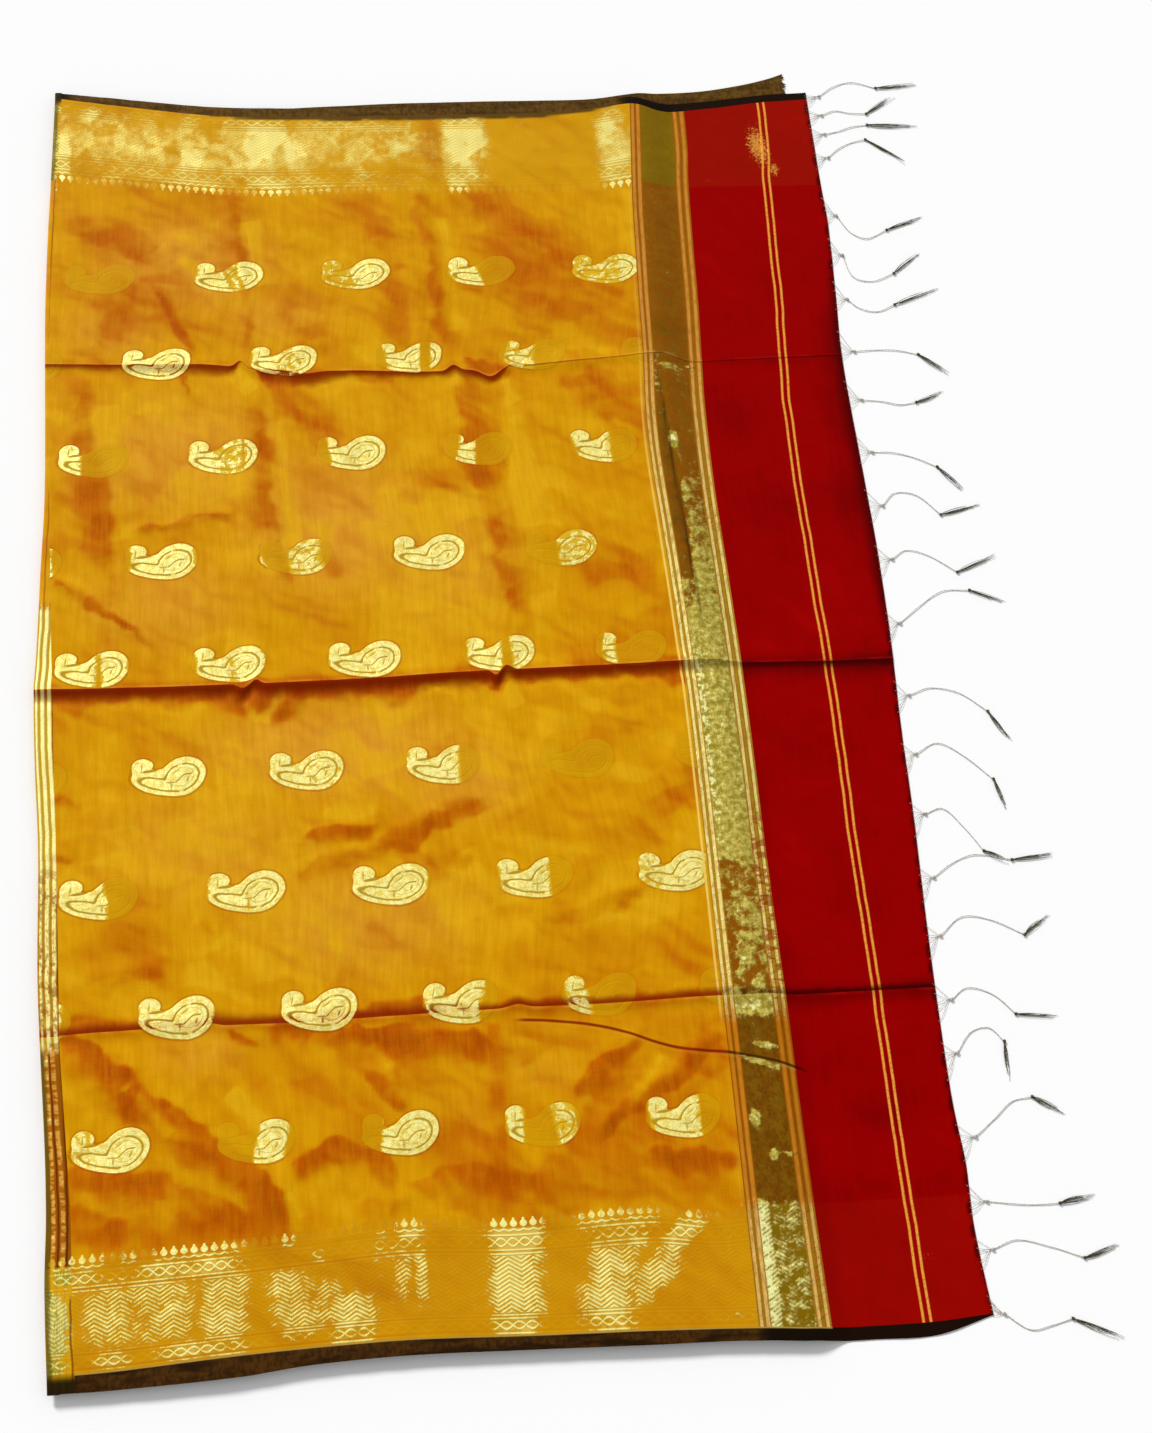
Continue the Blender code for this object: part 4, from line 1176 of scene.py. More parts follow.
def makeBandCloth():
    cloth = Cloth("zariBand", 0.5, 0.12, (240, 200, 90))
    board, look = cloth.board, bandLook
    fromStart, toEnd = board.attribute("fromStart"), board.attribute("toEnd")
    shine = board.attribute("shine")
    stripes = board.group(groups["stripes"], FromStart=fromStart, ToEnd=toEnd)
    blobs = board.noise(board.vector(cloth.x, cloth.y), 0.2, 3.0, 0.6)
    fibres = board.grain(cloth.x * 1.1, cloth.y * 0.3, roughness=0.6)
    cloud = board.noise(board.vector(cloth.x, cloth.y, 9.4), 0.11, 3.0, 0.62)
    inBorder = board.spread(abs(cloth.across - 1.0), 473.0, 477.0)
    ground = board.blend(inBorder, look["brown"], look["green"])
    deep = board.spread(cloth.across, -300.0, -330.0)
    ground = board.blend(deep * (1 - inBorder), ground, look["deepBrown"])
    ground = board.blend(board.spread(fibres, 0.35, 0.7) * 0.25, ground, look["edge"])
    ground = board.blend(board.spread(cloud, 0.42, 0.66) * 0.4, ground, look["haze"])
    shade = board.spread(cloth.tone + cloth.folds["Lean"] * 0.5 + (cloud - 0.5) * 1.6, -0.1, 0.9)
    ground = board.blend(shade * 0.8, ground, look["shade"])
    # the olive zari shows as a painted gleam where shine is painted
    lit = shine + (cloud - 0.5) * 1.2 + (blobs - 0.5) * 0.5 - cloth.folds["Lean"] * 0.15
    lit = board.spread(lit, 0.26, 0.6)
    zari = board.blend(board.spread(blobs, 0.34, 0.66), look["oliveDark"], look["olive"])
    spots = board.spread(blobs * 0.6 + cloud * 0.4 + (fibres - 0.5) * 0.4 + shine * 0.15, 0.46, 0.34)
    zari = board.blend(spots * 0.6, zari, look["oliveSpot"])
    sparks = board.spread(shine + (blobs - 0.5) * 1.5 + (fibres - 0.5) * 0.7, 0.92, 1.16)
    zari = board.blend(sparks, zari, look["pale"])
    colour = board.blend(lit, ground, zari)
    bend = board.calc("PINGPONG", fromStart, chevron["run"]) * chevron["slope"]
    chevrons = board.calc("FRACT", (cloth.across + bend) / chevron["pitch"])
    chevrons = board.band(chevrons, 0.5, 0.25, 0.12) * inBorder * lit
    colour = board.blend(chevrons * 0.7, colour, look["pale"])
    bandShine = board.attribute("bandShine")
    lineColour = board.blend(bandShine, look["lineLight"], look["lineGleam"])
    darkLine = board.blend(bandShine, look["lineDark"], look["lineGroove"])
    ragged = board.grain(cloth.x * 0.5, cloth.y * 0.14, detail=3.0)
    light = stripes["Light"] * board.spread(ragged, 0.3, 0.55, 0.45, 1.0)
    edges = board.blend(light, look["edge"], lineColour)
    dark = stripes["Dark"] * board.spread(ragged, 0.7, 0.45, 0.6, 1.0)
    edges = board.blend(dark, edges, darkLine)
    broken = board.spread(toEnd, 16.0, 13.0) * board.spread(abs(cloth.across + 235.0), 100.0, 70.0)
    dashes = board.grain(cloth.x * 0.1, cloth.y * 0.17, 3.4, roughness=0.55)
    edges = board.blend(broken * board.spread(dashes, 0.5, 0.58) * 0.75, edges, look["dashes"])
    colour = board.blend(stripes["Zone"], colour, edges)
    # painted shade along the edge of the stack under the band
    colour = board.blend(board.attribute("split"), colour, look["stackEdgeShade"])
    height = cloth.height + blobs * lit * 0.7 + fibres * lit * 0.3
    return cloth.finish(colour, height, lit * 0.8, line=(60, 30, 2), edge=(200, 170, 80))


# deep is painted shade, lit a painted highlight, glint a painted glint, and edge paints the shade of the
# edges and creases and the dark scallops between the tassels
palluLook = {
    "red": (146, 0, 1),
    "deep": (120, 0, 0),
    "lit": (164, 2, 2),
    "edge": (62, 2, 3),
    "line": (232, 156, 60),
    "border": (150, 20, 4),
    "glint": (226, 160, 66),
}


def makePalluCloth():
    cloth = Cloth("palluCloth", 0.65, 0.04, (255, 70, 50))
    board, look = cloth.board, palluLook
    lean = cloth.folds["Lean"]
    # painted shade where the cloth leans from the light, with the slubs' random tone
    deep = board.spread(cloth.weave["Slub"] - 0.5 + lean * 0.5 + cloth.tone * 1.1, -0.2, 1.1)
    colour = board.blend(deep, look["red"], look["deep"])
    colour = board.blend(board.spread(lean + cloth.tone, -0.1, -0.7) * 0.6, colour, look["lit"])
    inBorder = board.spread(abs(cloth.across - 0.5), 473.5, 476.5)
    share = inBorder * board.spread(cloth.across, -100.0, 100.0, 0.25, 0.6)
    colour = board.blend(share, colour, look["border"])
    wobble = (board.grain(0.0, cloth.across * 0.02) - 0.5) * 3.0
    along = cloth.along + wobble
    lines = board.most(board.band(along, 70.8, 1.0, 0.4), board.band(along, 76.4, 1.0, 0.4))
    worn = board.spread(board.noise(board.vector(cloth.x, cloth.y), 0.5, 3.0), 0.3, 0.55, 0.6, 1.0)
    colour = board.blend(lines * worn, colour, look["line"])
    specks = board.noise(board.vector(cloth.x, cloth.y), 0.42, 4.0, 0.75)
    glint = board.spread(board.attribute("shine") + (specks - 0.5) * 1.8, 0.66, 1.0)
    colour = board.blend(glint * 0.8, colour, look["glint"])
    colour = board.blend(board.attribute("dusk"), colour, look["edge"])
    height = cloth.weave["Height"] + cloth.folds["Height"] * 0.4 + lines * 0.2
    return cloth.finish(colour, height, glint, line=(56, 0, 2), edge=(176, 20, 12))


def makeSelvedgeCloth():
    cloth = Cloth("selvedgeCloth", 0.6, 0.12, (200, 150, 90))
    board = cloth.board
    ribs = board.grain(cloth.x * 0.3, cloth.across * 0.2, detail=3.0, roughness=0.6)
    patches = board.grain(cloth.x * 0.03, cloth.across * 0.15)
    brown = board.blend(board.spread(ribs, 0.35, 0.65), (50, 29, 9), (74, 45, 13))
    far = board.spread(cloth.y, -50.0, 50.0)
    farBrown = board.blend(board.spread(ribs, 0.35, 0.65), (72, 49, 15), (98, 70, 23))
    brown = board.blend(far, brown, farBrown)
    brown = board.blend(board.spread(patches, 0.42, 0.66) * (1 - far * 0.6), brown, (36, 20, 7))
    dark = board.most(board.attribute("dusk"), board.spread(board.attribute("fromStart"), 0.0, 12.0))
    colour = board.blend(dark, brown, (15, 9, 5))
    onRed = board.spread(board.attribute("toEnd"), 1.0, -1.0)
    colour = board.blend(onRed * 0.6, colour, (24, 5, 4))
    cord = board.band(cloth.across, 0.4, 0.6, 0.4) * (1 - onRed) * (1 - far) * 0.6
    colour = board.blend(cord, colour, (216, 178, 84))
    height = cloth.weave["Height"] + ribs * 0.3
    return cloth.finish(colour, height, line=None)


# lightGleam, dimGleam, olive and patch are painted gleam, and the olive edge colour is painted shade along
# the turn
foldLook = {
    "light": (208, 156, 44),
    "dim": (146, 82, 6),
    "lightGleam": (246, 233, 150),
    "dimGleam": (190, 152, 34),
    "nearLight": (224, 160, 62),
    "nearMid": (170, 96, 14),
    "nearDark": (100, 38, 2),
    "boundary": (126, 58, 0),
    "olive": (158, 142, 34),
    "oliveEdgeShade": (88, 78, 16),
    "patch": (236, 234, 144),
}


def makeFoldCloth():
    cloth = Cloth("foldCloth", 0.5, 0.12, (255, 200, 80))
    board, look = cloth.board, foldLook
    around, across = cloth.along, cloth.across
    shine, inward = board.attribute("shine"), board.attribute("inward")
    glint = cloth.glint()
    patches = board.grain(cloth.x * 0.9, cloth.y * 0.35, detail=3.0, roughness=0.62)
    wobble = (board.grain(0.3, across * 0.05) - 0.5) * 2.2
    place = around + wobble
    dash = board.grain(around * 0.16, across * 0.12, 6.4, roughness=0.6)
    # three stripes along the middle of the fold
    light = board.most(*(board.band(place, at, 1.5, 0.6) for at in (2.0, 7.4, 12.8)))
    ragged = board.spread(shine + (patches - 0.5) * 1.5, 0.35, 0.6)
    lightColour = board.blend(ragged, look["light"], look["lightGleam"])
    dimColour = board.blend(board.spread(shine, 0.3, 0.8), look["dim"], look["dimGleam"])
    stripes = board.blend(light, dimColour, lightColour)
    broken = board.spread(across, -150.0, -190.0) * board.spread(dash, 0.5, 0.6)
    stripes = board.blend(broken * 0.65, stripes, look["dim"])
    # two wider stripes, of loose dashes, along its near end
    near = board.spread(across, -316.0, -326.0)
    share = board.spread(across, -330.0, -470.0)
    wide = board.band(place, share * 1.5 + 4.2, 1.5, 0.6)
    wide = board.most(wide, board.band(place, share * 3.6 + 9.4, 1.6, 0.6) * 0.8)
    dash = board.grain(around * 0.1, across * 0.23, 6.4, 3.0, 0.62)
    dashes = board.blend(board.spread(dash, 0.42, 0.52), look["nearMid"], look["nearLight"])
    dashes = board.blend(board.spread(dash, 0.6, 0.66), dashes, look["lightGleam"])
    middle = board.band(place, share * 2.6 + 6.9, 0.6, 0.6)
    dim = board.blend(middle, look["dim"], look["nearDark"])
    stripes = board.blend(near, stripes, board.blend(wide, dim, dashes))
    striped = board.spread(across, 70.0, 50.0)
    colour = board.blend(striped, cloth.silk(bodyLook), stripes)
    boundary = board.band(place, 15.8, 0.9, 0.5) * striped
    colour = board.blend(boundary, colour, board.blend(near, look["boundary"], look["nearDark"]))
    thin = board.band(place, 4.2, 0.6) * (1 - striped) * board.spread(inward, 86.0, 92.0)
    colour = board.blend(thin * 0.8, colour, (160, 84, 1))
    # the two borders, painted pale where their zari glints on the fold
    inBorder = board.spread(inward, 89.5, 88.0)
    pattern = board.group(groups["borderPattern"], Along=cloth.x, Inward=inward, Worn=0.4)
    zari = board.blend(pattern["Threads"] * 0.3, borderLook["dull"], borderLook["mid"])
    gleamingZari = board.blend(board.spread(patches, 0.62, 0.34), look["dimGleam"], look["olive"])
    gleamingZari = board.blend(pattern["Threads"] * board.spread(patches, 0.3, 0.55), gleamingZari, look["patch"])
    zari = board.blend(glint["Gleam"], zari, gleamingZari)
    ground = board.most(inBorder * pattern["Ground"], inBorder * board.spread(inward, 80.0, 79.0))
    colour = board.blend(ground, colour, zari)
    corner = board.band(place, 18.6, 0.8, 0.7) * board.spread(across, -506.0, -514.0)
    colour = board.blend(corner * 0.8, colour, look["nearDark"])
    gleam = board.spread(shine + (patches - 0.5) * 1.2, 0.55, 0.8) * (1 - striped) * (1 - inBorder)
    colour = board.blend(gleam, colour, look["patch"])
    # painted shade along the fold's turn, on its near end and on the borders
    edge = board.spread(place, 5.6, 2.2) * board.most(near * 0.9, inBorder)
    colour = board.blend(edge * 0.85, colour, look["oliveEdgeShade"])
    colour = board.blend(board.attribute("dusk"), colour, (30, 22, 6))
    height = cloth.height + light * striped * 0.25 + patches * shine * 0.3
    return cloth.finish(colour, height, board.most(ragged * light * striped, glint["Gleam"] * inBorder) * 0.8)


def makePlyCloth():
    cloth = Cloth("plyCloth", 0.55, 0.2, (255, 190, 80), striped=False)
    board = cloth.board
    weave = board.group(groups["weave"], Along=cloth.x, Across=cloth.y)
    gap = board.spread(abs(board.calc("FRACT", cloth.z) - 0.5), 0.3, 0.48)
    number = board.calc("FLOOR", cloth.z)
    change = board.grain(cloth.x * 0.014, cloth.y * 0.014, number * 3.7, 1.0)
    silk = board.blend(board.spread(change, 0.4, 0.6), (200, 140, 10), (182, 98, 5))
    silk = board.blend(board.spread(weave["Slub"], 0.3, 0.8) * 0.4, silk, (228, 182, 70))
    side = board.blend(board.spread(change, 0.4, 0.6), (66, 38, 10), (32, 18, 6))
    colour = board.blend(board.attribute("dusk"), silk, side)
    # painted shade in the gaps between the plies
    colour = board.blend(gap * 0.75, colour, (36, 20, 4))
    return cloth.finish(colour, weave["Height"] + change * 0.1, line=None)


def makeFringeThread():
    cloth = Cloth("fringeThread", 0.75, 0.15, (255, 240, 210), striped=False)
    board = cloth.board
    twist = board.noise(board.vector(cloth.x, cloth.y, cloth.z), 0.9, 2.0, 0.6)
    colour = board.blend(board.spread(twist, 0.3, 0.7), (150, 146, 136), (226, 222, 212))
    tuft = board.blend(board.spread(twist, 0.4, 0.72), (48, 42, 32), (132, 124, 92))
    colour = board.blend(board.attribute("tuft"), colour, tuft)
    root = board.blend(board.spread(twist, 0.4, 0.6), (40, 26, 22), (214, 206, 186))
    colour = board.blend(board.attribute("root"), colour, root)
    return cloth.finish(colour, twist * 0.15, line=None)


materials = {
    "body": makeBodyCloth(),
    "border": makeBorderCloth(),
    "band": makeBandCloth(),
    "pallu": makePalluCloth(),
    "selvedge": makeSelvedgeCloth(),
    "fold": makeFoldCloth(),
    "ply": makePlyCloth(),
    "fringe": makeFringeThread(),
}
print("materials made")


def gridWithIndices(across, along):
    mesh = bmesh.new()
    column = mesh.verts.layers.int.new("column")
    row = mesh.verts.layers.int.new("row")
    bmesh.ops.create_grid(mesh, x_segments=across, y_segments=along, size=1)
    for number, vert in enumerate(mesh.verts):
        vert[column] = number % (across + 1)
        vert[row] = number // (across + 1)
    return mesh


def addPiece(name, mesh, material, nodes):
    obj = bpy.data.objects.new(name, mesh)
    scene.collection.objects.link(obj)
    mesh.materials.append(material)
    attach(obj, "root")
    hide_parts(*nodes)
    return obj


def meshFrom(builder, name):
    mesh = bpy.data.meshes.new(name)
    builder.to_mesh(mesh)
    builder.free()
    return mesh


def takeLayers(mesh, *names):
    # the numbers that each point was given in the builder, taken off the mesh
    taken = []
    for name in names:
        values = np.empty(len(mesh.vertices), np.int32)
        mesh.attributes[name].data.foreach_get("value", values)
        mesh.attributes.remove(mesh.attributes[name])
        taken.append(values)
    return taken


def paintPoints(mesh, values):
    for name, array in values.items():
        made = mesh.attributes.new(name=name, type="FLOAT", domain="POINT")
        made.data.foreach_set("value", np.clip(array, -500, 500).astype(np.float32))


def smooth(mesh, sharpAngle):
    mesh.shade_smooth()
    mesh.set_sharp_from_angle(angle=math.radians(sharpAngle))


def dressMesh(mesh, index, values, places):
    # the attributes and the woven places that the materials read
    paintPoints(mesh, {name: array.ravel()[index] for name, array in values.items()})
    places = [array.ravel()[index] for array in places]
    corners = np.empty(len(mesh.loops), np.int32)
    mesh.loops.foreach_get("vertex_index", corners)
    uv = mesh.uv_layers.new(name="weave")
    pairs = np.stack([places[0][corners], places[1][corners]], 1) * mm
    uv.data.foreach_set("uv", pairs.astype(np.float32).ravel())
    smooth(mesh, 60)


def makeSheetMesh(name, u, v, under, top):
    # a grid on the cloth's upper face, extruded down to its lower one
    rows, columns = u.shape
    builder = gridWithIndices(columns - 1, rows - 1)
    underside = builder.verts.layers.int.new("underside")
    extruded = bmesh.ops.extrude_face_region(builder, geom=builder.faces[:])["geom"]
    lower = [item for item in extruded if isinstance(item, bmesh.types.BMVert)]
    bmesh.ops.translate(builder, verts=lower, vec=(0, 0, -0.1))
    for vert in lower:
        vert[underside] = 1
    bmesh.ops.recalc_face_normals(builder, faces=builder.faces[:])
    mesh = meshFrom(builder, name)
    row, column, isLower = takeLayers(mesh, "row", "column", "underside")
    index = row * columns + column
    z = np.where(isLower == 1, under.ravel()[index], top.ravel()[index])
    place = np.stack([u.ravel()[index] - originShift[0], v.ravel()[index] - originShift[1], z], 1)
    mesh.vertices.foreach_set("co", (place * mm).astype(np.float32).ravel())
    mesh.update()
    return mesh, index


# How dark the painted shade along each long crease's line is, and how far and strongly painted shade spreads
# from it over the cloth
creaseLooks = {
    "farCrease": {
        "u": (0, 60, 100, 162, 167, 180, 186, 240, 262, 340, 350, 392, 400, 520, 705),
        "dark": (0.6, 0.6, 1.1, 1.2, 0.15, 0.15, 1.5, 1.4, 0.6, 0.6, 1.1, 1.0, 0.2, 0.15, 0.2),
        "shade": (0.1, 0.2, 0.4, 0.6, 0.0, 0.0, 0.9, 0.6, 0.3, 0.4, 0.9, 0.9, 0.1, 0.0, 0.0),
        "reach": 7.0,
        "side": -1,
    },
    "middleCrease": {
        "u": (-10, 150, 158, 168, 172, 360, 372, 380, 520, 560, 705),
        "dark": (1.3, 1.5, 1.9, 0.9, 1.9, 1.6, 1.7, 1.3, 1.2, 0.6, 0.6),
        "shade": (0.85, 0.95, 1.1, 1.1, 1.1, 1.3, 0.9, 1.0, 0.95, 0.3, 0.6),
        "reach": 14.0,
        "side": -1,
    },
    "nearCrease": {
        "u": (-10, 120, 130, 205, 220, 300, 350, 520, 560, 705),
        "dark": (0.8, 0.8, 1.2, 0.8, 1.0, 1.0, 0.7, 0.9, 0.5, 0.5),
        "shade": (0.7, 0.7, 0.3, 0.35, 0.95, 0.95, 0.3, 0.5, 0.2, 0.5),
        "reach": 9.0,
        "side": 1,
    },
}


def commonAttributes(u, v, shade):
    values = {key: np.full_like(u, farAway) for key in ("below", "above")}
    values.update({key: np.zeros_like(u) for key in ("darkBelow", "darkAbove")})
    for name, look in creaseLooks.items():
        away = v - widthLine(name, u)
        onSide = away.mean() * look["side"] > 0
        dark = np.interp(u, look["u"], look["dark"])
        place = "below" if away.mean() > 0 else "above"
        closer = np.abs(away) < np.abs(values[place])
        values[place] = np.where(closer, np.abs(away), values[place])
        key = "dark" + place.capitalize()
        values[key] = np.where(closer, dark * onSide, values[key])
        # painted shade spreading from the crease on its shaded side, and a narrow painted shade on the other
        # side
        if onSide:
            reach = look["reach"] * (1 + 0.7 * waves(u, v * 0, 26, 71) + 0.4 * waves(u, v, 9, 75))
            band = eased((reach - np.abs(away)) / (0.9 * look["reach"]) + 0.5)
            band = band * (1.3 - 0.5 * np.minimum(np.abs(away) / look["reach"], 1))
            shade = np.maximum(shade, np.interp(u, look["u"], look["shade"]) * band)
        else:
            shade = shade + 0.35 * dark * eased(1 - np.abs(away) / 9)
    for u0, v0, u1, v1, half, amount in litFacets:
        along, across, length = alongAndAcross(u, v, (u0, v0), (u1, v1))
        ends = eased(along / 4 + 0.5) * eased((length - along) / 4 + 0.5)
        shade = shade - amount * ends * bell(across, half)
    shade = shade + 0.16 * waves(u, v, 58, 73) + 0.1 * waves(u, v, 24, 74) + spotMask(u, v, tonedAreas)
    bentU, bentV = u + 9 * waves(u, v, 30, 76), v + 9 * waves(u, v, 30, 77)
    shade = shade + 0.2 * facets(bentU, bentV, 46, 78, 32, 1.7)
    shade = shade + 0.14 * facets(bentU, bentV, 21, 79, -24, 1.9)
    # painted shade and painted highlights, with some random tone
    values["tone"] = np.clip(shade, -1, 1.3)
    values["fromStart"] = u - lengthLine("bandStart", v)
    values["toEnd"] = lengthLine("bandEnd", v) - u
    return values


# Stretches that lean from the light as a whole: middle, half sizes, turn and amount
tonedAreas = (
    (470, 400, 90, 110, 0, 0.3), (440, 250, 90, 60, 0, 0.16), (60, 430, 90, 50, 0, 0.25),
    (430, -390, 130, 90, 0, 0.48), (200, 370, 110, 80, 0, 0.2), (300, 400, 60, 90, 0, 0.25),
    (480, 110, 60, 130, 0, 0.26), (470, -130, 70, 110, 0, 0.16), (60, -430, 80, 40, 0, 0.25),
    (190, -345, 150, 45, 0, 0.42), (340, -420, 70, 60, 0, 0.35), (30, 180, 30, 120, 0, 0.1),
    (220, 450, 300, 20, 0, 0.4), (349, 520, 9, 60, 0, 0.7), (370, -472, 120, 20, 0, 0.25),
    (110, -472, 90, 24, 0, 0.5), (60, 370, 90, 50, 0, 0.3), (240, 340, 120, 60, 0, 0.3),
)
# Areas of the body with a painted peach sheen: middle, half sizes and amount
peachSheenAreas = (
    (120, 395, 90, 60, 0.8), (60, 330, 60, 40, 0.6), (200, 340, 70, 40, 0.55), (110, 200, 110, 70, 0.7),
    (240, 130, 90, 90, 0.75), (330, 90, 90, 80, 0.55), (100, 60, 80, 60, 0.6),
    (230, -80, 130, 50, 0.75), (330, -110, 70, 50, 0.6), (130, -160, 110, 70, 0.5),
    (250, -230, 110, 60, 0.6), (120, -330, 50, 30, 0.5), (380, -360, 60, 30, 0.35),
    (300, -400, 60, 40, 0.3),
)


def lineGleam(v):
    # how far the lines beside the zari band gleam
    return np.interp(v, (-575, -480, -470, -330, -310, -200, 60, 160, 300, 590),
                     (0.5, 0.4, 0.05, 0.0, 0.7, 0.85, 0.9, 0.6, 0.15, 0.05))


def bodyValues(u, v, shade):
    values = commonAttributes(u, v, shade)
    # painted peach sheen
    values["bloom"] = spotMask(u, v, [(*area[:4], 0, area[4]) for area in peachSheenAreas])
    values["shine"] = bodyAttributes(u, v)
    values["bandShine"] = lineGleam(v)
    return values


def borderValues(u, v, shade, gleams):
    values = bodyValues(u, v, shade)
    values["shine"] = borderAttributes(u, v, gleams)
    # a painted soft sheen over the far border
    values["worn"] = np.full_like(u, 0.75 if v.mean() > 0 else 0.0)
    # darker towards the far selvedge along part of the far border
    depth = np.interp(u, (120, 200, 300, 450, 505, 522), (-1, 3.2, 5.4, 5.0, 2.5, -1))
    depth = depth + 0.8 * waves(u, v * 0, 9, 65)
    values["dusk"] = eased((depth - widthLine("farSelvedge", u) + v) / 1.6 + 0.5)
    return values


# How much the zari band gleams along its length, at its left and its right
bandGleam = {
    "v": (
        590, 300, 285, 230, 175, 160, 110, 70, 40, -10, -185, -200, -240, -290, -305, -312, -320, -330,
        -468, -474, -575,
    ),
    "left": (
        0, 0, 0.3, 0.1, 0, 0, 0.1, 0.3, 0.5, 0.95, 0.8, 0.35, 0.3, 0.3, 0.5, 0.9, 0.8, 0.1, 0.1, 1.0,
        1.0,
    ),
    "right": (
        0, 0, 0.2, 0.1, 0.22, 0.3, 0.45, 0.6, 0.7, 0.8, 0.7, 0.4, 0.5, 0.35, 0.3, 0.9, 0.8, 0.1, 0.1,
        0.3, 0.32,
    ),
}
# Small painted glints of the band: middle, half sizes, turn and amount
bandSpots = (
    (538.5, 203, 4, 9, 0, 1.2), (545, 150, 5, 10, 0, 0.9), (548, 112, 6, 12, 10, 0.8),
    (546, 60, 6, 14, 0, 0.9), (551, 20, 7, 10, 0, 0.9), (545, -280, 3, 17, -22, 1.1),
    (556, -298, 6, 5, 0, 1.0), (555, -349, 12, 2.5, -12, 1.1), (548, -362, 18, 2.5, -22, 1.0),
    (540, -407, 4, 8, 0, 1.1), (551, -437, 4, 5, 0, 1.0), (562, -436, 8, 3, 0, 0.6),
    (540, 280, 6, 2, 0, 0.9), (562, 280, 6, 2, 0, 0.8),
)


def bandValues(u, v, shade):
    values = commonAttributes(u, v, shade)
    left = smoothCurve(bandGleam["v"], bandGleam["left"], v)
    right = smoothCurve(bandGleam["v"], bandGleam["right"], v)
    middle = np.interp(v, (-300, 30, 60, 160, 290), (541, 541, 543, 541, 532))
    share = eased((u - middle) / 6 + 0.5)
    values["shine"] = np.maximum(left * (1 - share) + right * share, spotMask(u, v, bandSpots))
    # painted shade along the stack's edge under the band, and painted shade growing towards it on its left
    besideStackEdge = (v < 292) & (v > 15)
    split = np.interp(v, (15, 60, 160, 290), (545, 543, 537, 531))
    values["split"] = np.interp(v, (15, 40, 90, 230, 290), (0, 0.9, 0.9, 0.8, 0)) * bell(u - split, 1.2)
    values["bandShine"] = lineGleam(v)
    towardStackEdge = np.clip((u - lengthLine("bandStart", v) - 8) / 14, 0, 1)
    values["tone"] = np.where(besideStackEdge & (u < split), 0.1 + 0.5 * towardStackEdge, 0.3 * values["tone"])
    return values


# Painted glints of the pallu: middle, half sizes, turn and amount
palluSpots = (
    (652, 520, 14, 34, 8, 1.0), (664, 494, 9, 12, 0, 0.9), (601, 480, 5, 8, 0, 0.6),
    (640, 540, 20, 14, 0, 0.4), (660, -520, 20, 16, 0, 0.5), (640, -500, 12, 8, 0, 0.4),
    (601, -40, 10, 8, 0, 0.35),
)
# Painted shade of the pallu: middle, half sizes, turn and amount
palluShades = (
    (640, -20, 90, 14, 0, 0.8), (640, 284, 90, 8, 0, 0.35), (640, -312, 90, 7, 0, 0.7),
    (645, -405, 50, 16, 0, 0.5), (655, -465, 40, 12, 0, 0.5), (600, 150, 40, 120, 0, 0.25),
    (690, 200, 14, 160, 0, 0.6),
)


def palluValues(u, v, shade):
    values = commonAttributes(u, v, shade)
    values["tone"] = spotMask(u, v, palluShades) + 0.3 * waves(u, v, 46, 81) + 0.12 * waves(u, v, 17, 84)
    values["shine"] = spotMask(u, v, palluSpots)
    # the darkening is painted shade along the right edge and beside the middle and near creases, with dark
    # scallops of thread between the tassels
    fromEdge = lengthLine("palluEnd", v) - u
    amount = np.interp(v, (-400, -50, 60, 330, 420), (0.2, 0.4, 0.9, 0.9, 0.3))
    edge = amount * eased(1 - fromEdge / np.interp(v, (0, 60, 330, 400), (5, 14, 14, 6)))
    scallop = 3.2 * np.abs(np.sin(v * math.pi / 19 + waves(v * 0, v, 60, 85))) + 1.2 * waves(u * 0, v, 9, 86)
    edge = np.maximum(edge, 0.85 * eased((scallop - fromEdge) / 1.6 + 0.5))
    for name, lower, half, strength in (("middleCrease", 3, 7, 0.6), ("nearCrease", -2, 6, 0.45)):
        away = v - widthLine(name, u) + lower
        edge = np.maximum(edge, strength * bell(away, half) * (1 + 0.4 * waves(u, v * 0, 22, 83)))
    values["dusk"] = np.clip(edge, 0, 1)
    return values


def makeClothPiece(name, rowEnds, columnEnds, material, nodes, valuesOf, placeOf):
    u, v = crossings(rowsBetween(*rowEnds), columnsBetween(*columnEnds))
    under, top, shade = clothHeights(u, v)
    mesh, index = makeSheetMesh(name, u, v, under, top)
    dressMesh(mesh, index, valuesOf(u, v, shade), placeOf(u, v))
    piece = addPiece(name, mesh, materials[material], nodes)
    return piece


def bandPlace(u, v):
    return u - lengthLine("bandStart", v), v


def palluPlace(u, v):
    return u - lengthLine("bandEnd", v), v


def farInward(u, v):
    outer, inner = widthLine("farSelvedge", u), widthLine("farBorder", u)
    return u, (outer - v) * borderDepth / (outer - inner)


def nearInward(u, v):
    outer, inner = widthLine("nearSelvedge", u), widthLine("nearBorder", u)
    return u, (v - outer) * borderDepth / (inner - outer)


def selvedgeValues(u, v, shade):
    values = commonAttributes(u, v, shade)
    values["dusk"] = np.clip(eased((28 - u) / 14) + eased((u - 517) / 16), 0, 1)
    return values


